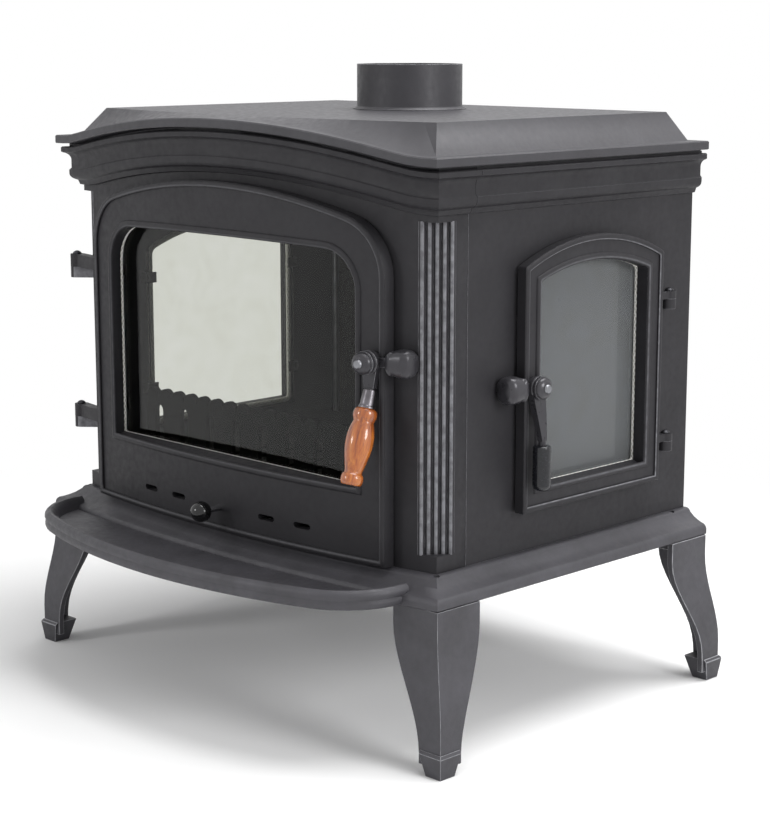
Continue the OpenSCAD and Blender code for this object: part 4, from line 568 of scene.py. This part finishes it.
def pane_rope(node, front, corner, top_radius, step=2.0, pitch=9.0):
    """Rope round a pane. Its place and size come from the frame node's own box."""
    low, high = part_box(node)
    axis = 0 if front else 1
    out = 1 - axis
    half = (high[axis] - low[axis]) / 2 / MM
    middle = (high[axis] + low[axis]) / 2 / MM
    depth = (high[out] - low[out]) / MM
    level = (high[out] + low[out]) / 2 / MM
    width = 8.6
    outline = arched(half - width / 2, low.z / MM + width / 2, high.z / MM - width / 2, top_radius - width / 2,
                     corner)

    def to_space(uv):
        u, z = uv[..., 0] + middle, uv[..., 1]
        fixed = np.full_like(u, level)
        return np.stack([u, fixed, z] if front else [fixed, u, z], -1) * MM

    normal = np.zeros(3)
    normal[out] = MM
    return braided_rope(node, outline, to_space, normal, width, depth, step, pitch)


pane_rope("front_glass_rope", True, 56.5, 6000)
pane_rope("left_glass_rope", False, 8.5, 331)
pane_rope("side_glass_rope", False, 8.5, 331)
pane_rope("side_door_rope", False, 6, 320, step=3.0, pitch=12.0)

# %% The front door's rope follows the bow of the door
def on_the_bow(uv):
    x, z = uv[..., 0], uv[..., 1]
    return np.stack([x, bowed_y(x, 4.4), z], -1) * MM


braided_rope("front_door_rope", arched(289, 256, 715, 931, 71), on_the_bow, (0, MM, 0), 7.6, 7.6, 3.0, 12.0)

# %% [markdown]
# ## Beads round doors and windows
# A pattern maker runs a half-round bead along the rim of a door and round a window, because a bead hides small
# errors of the casting and catches a line of light. Its section is a half ellipse, and the bead is that section
# carried along the outline: each point of the section follows the outline drawn in by its own distance. A line
# of painted highlight, mixed with wear, runs along one side of each bead's section.

# %% Sweeping a bead
def bead_section(inner, outer, foot, height, highlight_angle, rub_and_highlight, count=13):
    """Half ellipse from one inset to another: rows of (inset, distance out, wear and painted highlight). The painted
    highlight peaks at the given angle round the section.
    """
    t = np.linspace(0, np.pi, count)
    inset = (inner + outer) / 2 - (outer - inner) / 2 * np.cos(t)
    out = foot + height * np.sin(t)
    # Painted highlight with wear, strongest at the given angle and gone 0.55 radian to either side.
    bead_wear_and_highlight = rub_and_highlight * np.clip(1 - np.abs(t - math.radians(highlight_angle)) / 0.55, 0, 1)
    arch_rows = np.stack([inset, out, bead_wear_and_highlight], -1)
    return np.vstack([[inner, foot - 1, 0], arch_rows, [outer, foot - 1, 0]])


def bead(name, node, outline, section, to_space, material, slot="cast"):
    """Closed moulding: the outline at each inset, with its long sides cut into short ones so that it can follow a
    curved door, lifted to the section's distance out."""
    first = outline(0)
    lengths = np.linalg.norm(np.roll(first, -1, 0) - first, axis=1)
    cuts = np.maximum(1, np.ceil(lengths / 8)).astype(int)
    side = np.repeat(np.arange(len(first)), cuts)
    share = (np.arange(len(side)) - np.repeat(np.cumsum(cuts) - cuts, cuts)) / cuts[side]
    columns = []
    for inset, out, _ in section:
        row = outline(inset)
        flat = row[side] + (np.roll(row, -1, 0)[side] - row[side]) * share[:, None]
        columns.append(to_space(flat, out))
    grid = np.stack(columns, axis=1)
    bead_wear_and_highlight = np.broadcast_to(section[:, 2], grid.shape[:2]).reshape(-1, 1)
    return skin(name, grid, node, material, slot, loop=True, point_values={"wear_and_highlight": bead_wear_and_highlight}, stands_in=False)


def on_front(uv, out):
    return np.stack([uv[:, 0], bowed_y(uv[:, 0], out), uv[:, 1]], -1) * MM


SIDE_MIDDLE = 29.0 + SET_BACK


def on_side(uv, out):
    return np.stack([np.full(len(uv), BODY_HALF + out), uv[:, 0] + SIDE_MIDDLE, uv[:, 1]], -1) * MM


# The last two numbers of each section are where round it the painted highlight lies, in degrees, and how strong it
# is.
bead("front_door_rim", "front_door", lambda i: arched(298 - i, 247 + i, 724 - i, 940 - i, 80 - i),
     bead_section(0.5, 8.6, 19.6, 2.6, 120, 0.3), on_front, polished_iron)
bead("front_window_bead", "front_door", lambda i: arched(250 + i, 346 - i, 652 + i, 6000, 52 + i),
     bead_section(0.6, 9.6, 17.8, 3.0, 40, 0.25), on_front, polished_iron)
bead("side_door_rim", "side_door", lambda i: arched(143.5 - i, 301 + i, 657 - i, 326 - i, 4),
     bead_section(0.5, 8.2, 17.6, 2.0, 150, 0.9), on_side, polished_iron)
bead("side_window_bead", "side_door", lambda i: arched(111 + i, 333 - i, 622.5 + i, 326 + i, 4),
     bead_section(0.6, 9.2, 15.8, 2.8, 60, 0.4), on_side, polished_iron)

# %% [markdown]
# ## Bullet catches
# Each latch hooks behind a smooth bullet-shaped lump that the founder cast as one piece. Its sections across the
# length are rounded rectangles (a superellipse of power 2.6) that grow from a point at the nose; behind the nose
# its root goes back to the wall.

# %% Growing a catch
CATCH_LENGTH, CATCH_HALF, CATCH_OUT, NOSE_BACK = 36.0, 18.0, 32.0, 24.5


def swell(v):
    """Quarter of an ellipse: rises steeply from 0 and levels out at 1."""
    return np.sqrt(1 - (1 - np.clip(v, 0, 1)) ** 2)


def catch(name, node, start, to_space):
    """Superellipse sections: half height H swell(s / 0.62), front at the catch's reach, back stepping to the wall."""
    s = (1 - np.cos(np.linspace(0, np.pi, 70))) / 2
    tail = 1 - 0.30 * np.clip((s - 0.80) / 0.20, 0, 1) ** 2.4
    half = CATCH_HALF * swell(s / 0.62) * tail
    front = NOSE_BACK + (CATCH_OUT - NOSE_BACK) * swell(s / 0.3)
    front = front * (1 - 0.18 * np.clip((s - 0.7) / 0.3, 0, 1) ** 2)
    step = np.clip((s * CATCH_LENGTH - 9) / 4, 0, 1)
    back = NOSE_BACK * (1 - step * step * (3 - 2 * step)) + 2.2 * step
    a = np.linspace(0, 2 * np.pi, 64, endpoint=False)
    round_y = np.sign(np.cos(a)) * np.abs(np.cos(a)) ** (2 / 2.6)
    round_z = np.sign(np.sin(a)) * np.abs(np.sin(a)) ** (2 / 2.6)
    y = -(front + back)[:, None] / 2 + (front - back)[:, None] / 2 * round_y
    z = half[:, None] * round_z
    x = np.broadcast_to(start + CATCH_LENGTH * s[:, None], y.shape)
    grid = np.stack([x, y, z], -1)
    end = np.broadcast_to(grid[-1].mean(axis=0), (1, len(a), 3))
    return skin(name, to_space(np.concatenate([grid, end])), node, satin_iron, "catch_cast")


LATCH_HEIGHT, LATCH_ACROSS = 513.0, 278.0
SIDE_LATCH_Y, SIDE_LATCH_HEIGHT = -97.5, 468.0


def turn_matrix(axis, degrees):
    return np.array(Matrix.Rotation(math.radians(degrees), 3, axis))


def at_front_latch(p):
    """From a latch's own axes to the bowed door: out to the bow and round with it to the latch's place."""
    p = (p + np.array([0, -BOW_RADIUS, 0])) @ turn_matrix("Z", math.degrees(math.asin(LATCH_ACROSS / BOW_RADIUS))).T
    return (p + np.array([0, BOW_CENTRE + SET_BACK, LATCH_HEIGHT])) * MM


def at_side_latch(p):
    x, y, z = p[..., 0], p[..., 1], p[..., 2]
    return np.stack([BODY_HALF - y, SIDE_LATCH_Y + SET_BACK - x, SIDE_LATCH_HEIGHT + z], -1) * MM


catch("front_catch_bullet", "front_catch", 21.5, at_front_latch)
catch("side_catch_bullet", "side_catch", 18.5, at_side_latch)

# %% [markdown]
# ## Turned handles and knobs
# A lathe gives a shape that is the same all round, so each of these is one profile of radius against length,
# spun about its axis. The wooden grip has a bead at either end and a belly that fits the palm; its axis leans
# out from the door so that knuckles clear the iron.

# %% Spinning a profile
def turned(name, node, profile, to_space, material, slot, around=96, grain_stretch=None):
    """Lathe work: at angle a and height h the point is (r(h) cos a, r(h) sin a, h), moved into place."""
    radius, height = np.array(profile, float).T
    a = np.linspace(0, 2 * np.pi, around, endpoint=False)
    local = np.stack([radius[:, None] * np.cos(a), radius[:, None] * np.sin(a),
                      np.repeat(height[:, None], around, 1)], -1)
    values = {}
    if grain_stretch:
        values = {"along_grain": (local * MM * np.array([1, 1, grain_stretch])).reshape(-1, 3)}
    return skin(name, to_space(local), node, material, slot, point_values=values)


# %% The wooden grip
GRIP_LENGTH, GRIP_RADIUS, FERRULE_LENGTH, LEAN = 98.0, 17.0, 26.0, 19.5
TIP_OUT, TIP_DROP = 26.4, 34.0


def at_front_handle(local):
    """From the leaning axis of the front handle to the stove: slide down the axis, lean it, go to the tip of the
    lever, out to the bowed door, and turn with the bow to the latch's place."""
    along = FERRULE_LENGTH + GRIP_LENGTH
    p = local + np.array([0, 0, -along])
    p = p @ turn_matrix("X", -LEAN).T
    return at_front_latch(p + np.array([0, -TIP_OUT, -TIP_DROP]))


t = np.linspace(0, 1, 30)
belly = np.stack([GRIP_RADIUS * (0.66 + 0.34 * np.sin(np.pi * t**1.25) ** 0.9 * (1 - 0.05 * t) + 0.1 * t),
                  17 + (GRIP_LENGTH - 34) * t], -1)
bead = np.radians(np.linspace(-60, 60, 13))
foot_bead = np.stack([GRIP_RADIUS * (0.68 + 0.17 * np.cos(bead)), 7.5 + 7 * np.sin(bead)], -1)
head_bead = np.stack([GRIP_RADIUS * (0.74 + 0.16 * np.cos(bead)), GRIP_LENGTH - 8 + 7 * np.sin(bead)], -1)
grip_profile = np.vstack([[[0, 0], [GRIP_RADIUS * 0.7, 0], [GRIP_RADIUS * 0.74, 0.5]], foot_bead,
                          [[GRIP_RADIUS * 0.67, 15]], belly, head_bead,
                          [[GRIP_RADIUS * 0.7, GRIP_LENGTH], [0, GRIP_LENGTH]]])
turned("front_grip_turned", "front_grip", grip_profile, at_front_handle, handle_wood, "wood", grain_stretch=0.08)

# %% The side handle and the air knob
low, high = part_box("side_grip")
side_axis = (low + high) / 2 / MM
r = (high.x - low.x) / 2 / MM
length = (high.z - low.z) / MM
side_profile = np.vstack([[[0, 0]], arc((r - 8, 8), 8, -90, 0, 12), [[r, length - 3]],
                          arc((r - 3, length - 3), 3, 0, 90, 6), [[0, length]]])
turned("side_grip_moulded", "side_grip", side_profile,
       lambda p: (p + np.array([side_axis.x, side_axis.y, low.z / MM])) * MM, grip_plastic, "black_grip")

low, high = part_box("air_knob")
knob_centre = (low + high) / 2 / MM
r = (high.x - low.x) / 2 / MM
mouth = math.degrees(math.asin(4 / r))
ball = arc((0, 0), r, -90, 90 - mouth, 40)
knob_profile = np.vstack([ball, [[4, r - 3], [0, r - 3]]])


def at_knob(p):
    ball_y = low.y / MM + r
    return np.stack([p[..., 0] + knob_centre.x, p[..., 2] + ball_y, p[..., 1] + knob_centre.z], -1) * MM


turned("air_knob_ball", "air_knob", knob_profile, at_knob, knob_plastic, "black_knob")

# %% [markdown]
# ## Studio
# A pale floor, a white surround and large soft lamps show dark iron best: the lid mirrors the light above it, the
# side facing the window-like lamp reads as dark grey, and the front stays nearly black.

# %% Floor, light and camera
def plane(name, size, height):
    """A level square sheet, reaching size metres each way from the middle."""
    mesh = bpy.data.meshes.new(name)
    mesh.from_pydata([(-size, -size, height), (size, -size, height), (size, size, height), (-size, size, height)], [],
                     [(0, 1, 2, 3)])
    made = bpy.data.objects.new(name, mesh)
    bpy.context.scene.collection.objects.link(made)
    return made


floor = plane("studio_floor", 14.0, 0.0)
paint = bpy.data.materials.new("floor_matt_white")
paint.use_nodes = True
net = paint.node_tree
net.nodes.clear()
place = add(net, "ShaderNodeTexCoord").outputs["Object"]
speck = add(net, "ShaderNodeTexNoise", {"Scale": per_mm(400), "Detail": 2.0}, {"Vector": place})
matt = add(net, "ShaderNodeBsdfDiffuse", {"Roughness": 0.5},
           {"Color": ramp(net, speck.outputs["Fac"], [(0.3, "#f6f6f6"), (0.7, "#f9f9f9")])})
# Away from the stove the floor fades into the white surround, so that no horizon shows; near it the floor is
# plain matt paint that takes the stove's shadow.
away = add(net, "ShaderNodeVectorMath", {"operation": "LENGTH"}, {0: place})
fade = add(net, "ShaderNodeMapRange", {"interpolation_type": "SMOOTHSTEP", "From Min": 0.55, "From Max": 1.5},
           {"Value": away.outputs["Value"]})
ray = add(net, "ShaderNodeLightPath")
seen = add(net, "ShaderNodeMath", {"operation": "MAXIMUM"},
           {0: ray.outputs["Is Camera Ray"], 1: ray.outputs["Is Transmission Ray"]})
seen = add(net, "ShaderNodeMath", {"operation": "MAXIMUM"},
           {0: seen.outputs["Value"], 1: ray.outputs["Is Glossy Ray"]})
share = add(net, "ShaderNodeMath", {"operation": "MULTIPLY"},
            {0: fade.outputs["Result"], 1: seen.outputs["Value"]})
glow = add(net, "ShaderNodeEmission", {"Color": (1, 1, 1, 1), "Strength": 1.0})
blend = add(net, "ShaderNodeMixShader", {}, {0: share.outputs["Value"], 1: matt.outputs["BSDF"],
                                             2: glow.outputs["Emission"]})
add(net, "ShaderNodeOutputMaterial", links={"Surface": blend.outputs["Shader"]})
floor.data.materials.append(paint)

scene = bpy.context.scene
world = bpy.data.worlds.new("white_surround")
scene.world = world
world.use_nodes = True
net = world.node_tree
net.nodes.clear()
ray = add(net, "ShaderNodeLightPath")
seen = add(net, "ShaderNodeMath", {"operation": "MAXIMUM"},
           {0: ray.outputs["Is Camera Ray"], 1: ray.outputs["Is Transmission Ray"]})
seen = add(net, "ShaderNodeMath", {"operation": "MAXIMUM"},
           {0: seen.outputs["Value"], 1: ray.outputs["Is Glossy Ray"]})
strength = add(net, "ShaderNodeMapRange", {"To Min": 0.5, "To Max": 1.0}, {"Value": seen.outputs["Value"]})
sky = add(net, "ShaderNodeBackground", {"Color": (1, 1, 1, 1)}, {"Strength": strength.outputs["Result"]})
add(net, "ShaderNodeOutputWorld", links={"Surface": sky.outputs["Background"]})


def softbox(name, place, target, size, power):
    """A round soft lamp at a place, aimed at a target: size is its diameter in metres, power is in watts."""
    lamp = bpy.data.lights.new(name, "AREA")
    lamp.shape, lamp.size, lamp.energy = "DISK", size, power
    made = bpy.data.objects.new(name, lamp)
    made.location = place
    made.rotation_euler = (Vector(target) - Vector(place)).to_track_quat("-Z", "Y").to_euler()
    scene.collection.objects.link(made)
    return made


softbox("lamp_above", (0.6, 0.6, 3.2), (0, 0, 0.5), 2.4, 110)
softbox("lamp_right", (3.4, 0.2, 1.6), (0, 0, 0.5), 1.2, 46)
softbox("lamp_front", (-1.2, -3.4, 1.7), (0, 0, 0.5), 0.8, 22)

camera = bpy.data.cameras.new("portrait_camera")
camera.lens, camera.sensor_width = 87.16, 36.0
camera_object = bpy.data.objects.new("portrait_camera", camera)
camera_object.location = (2.0377, -1.9366, 0.921)
yaw, pitch = math.radians(-45.09), math.radians(-10.846)
aim = Vector((math.sin(yaw) * math.cos(pitch), math.cos(yaw) * math.cos(pitch), math.sin(pitch)))
camera_object.rotation_euler = aim.to_track_quat("-Z", "Y").to_euler()
scene.collection.objects.link(camera_object)
scene.camera = camera_object
scene.view_settings.view_transform = "Standard"

bpy.context.view_layer.update()
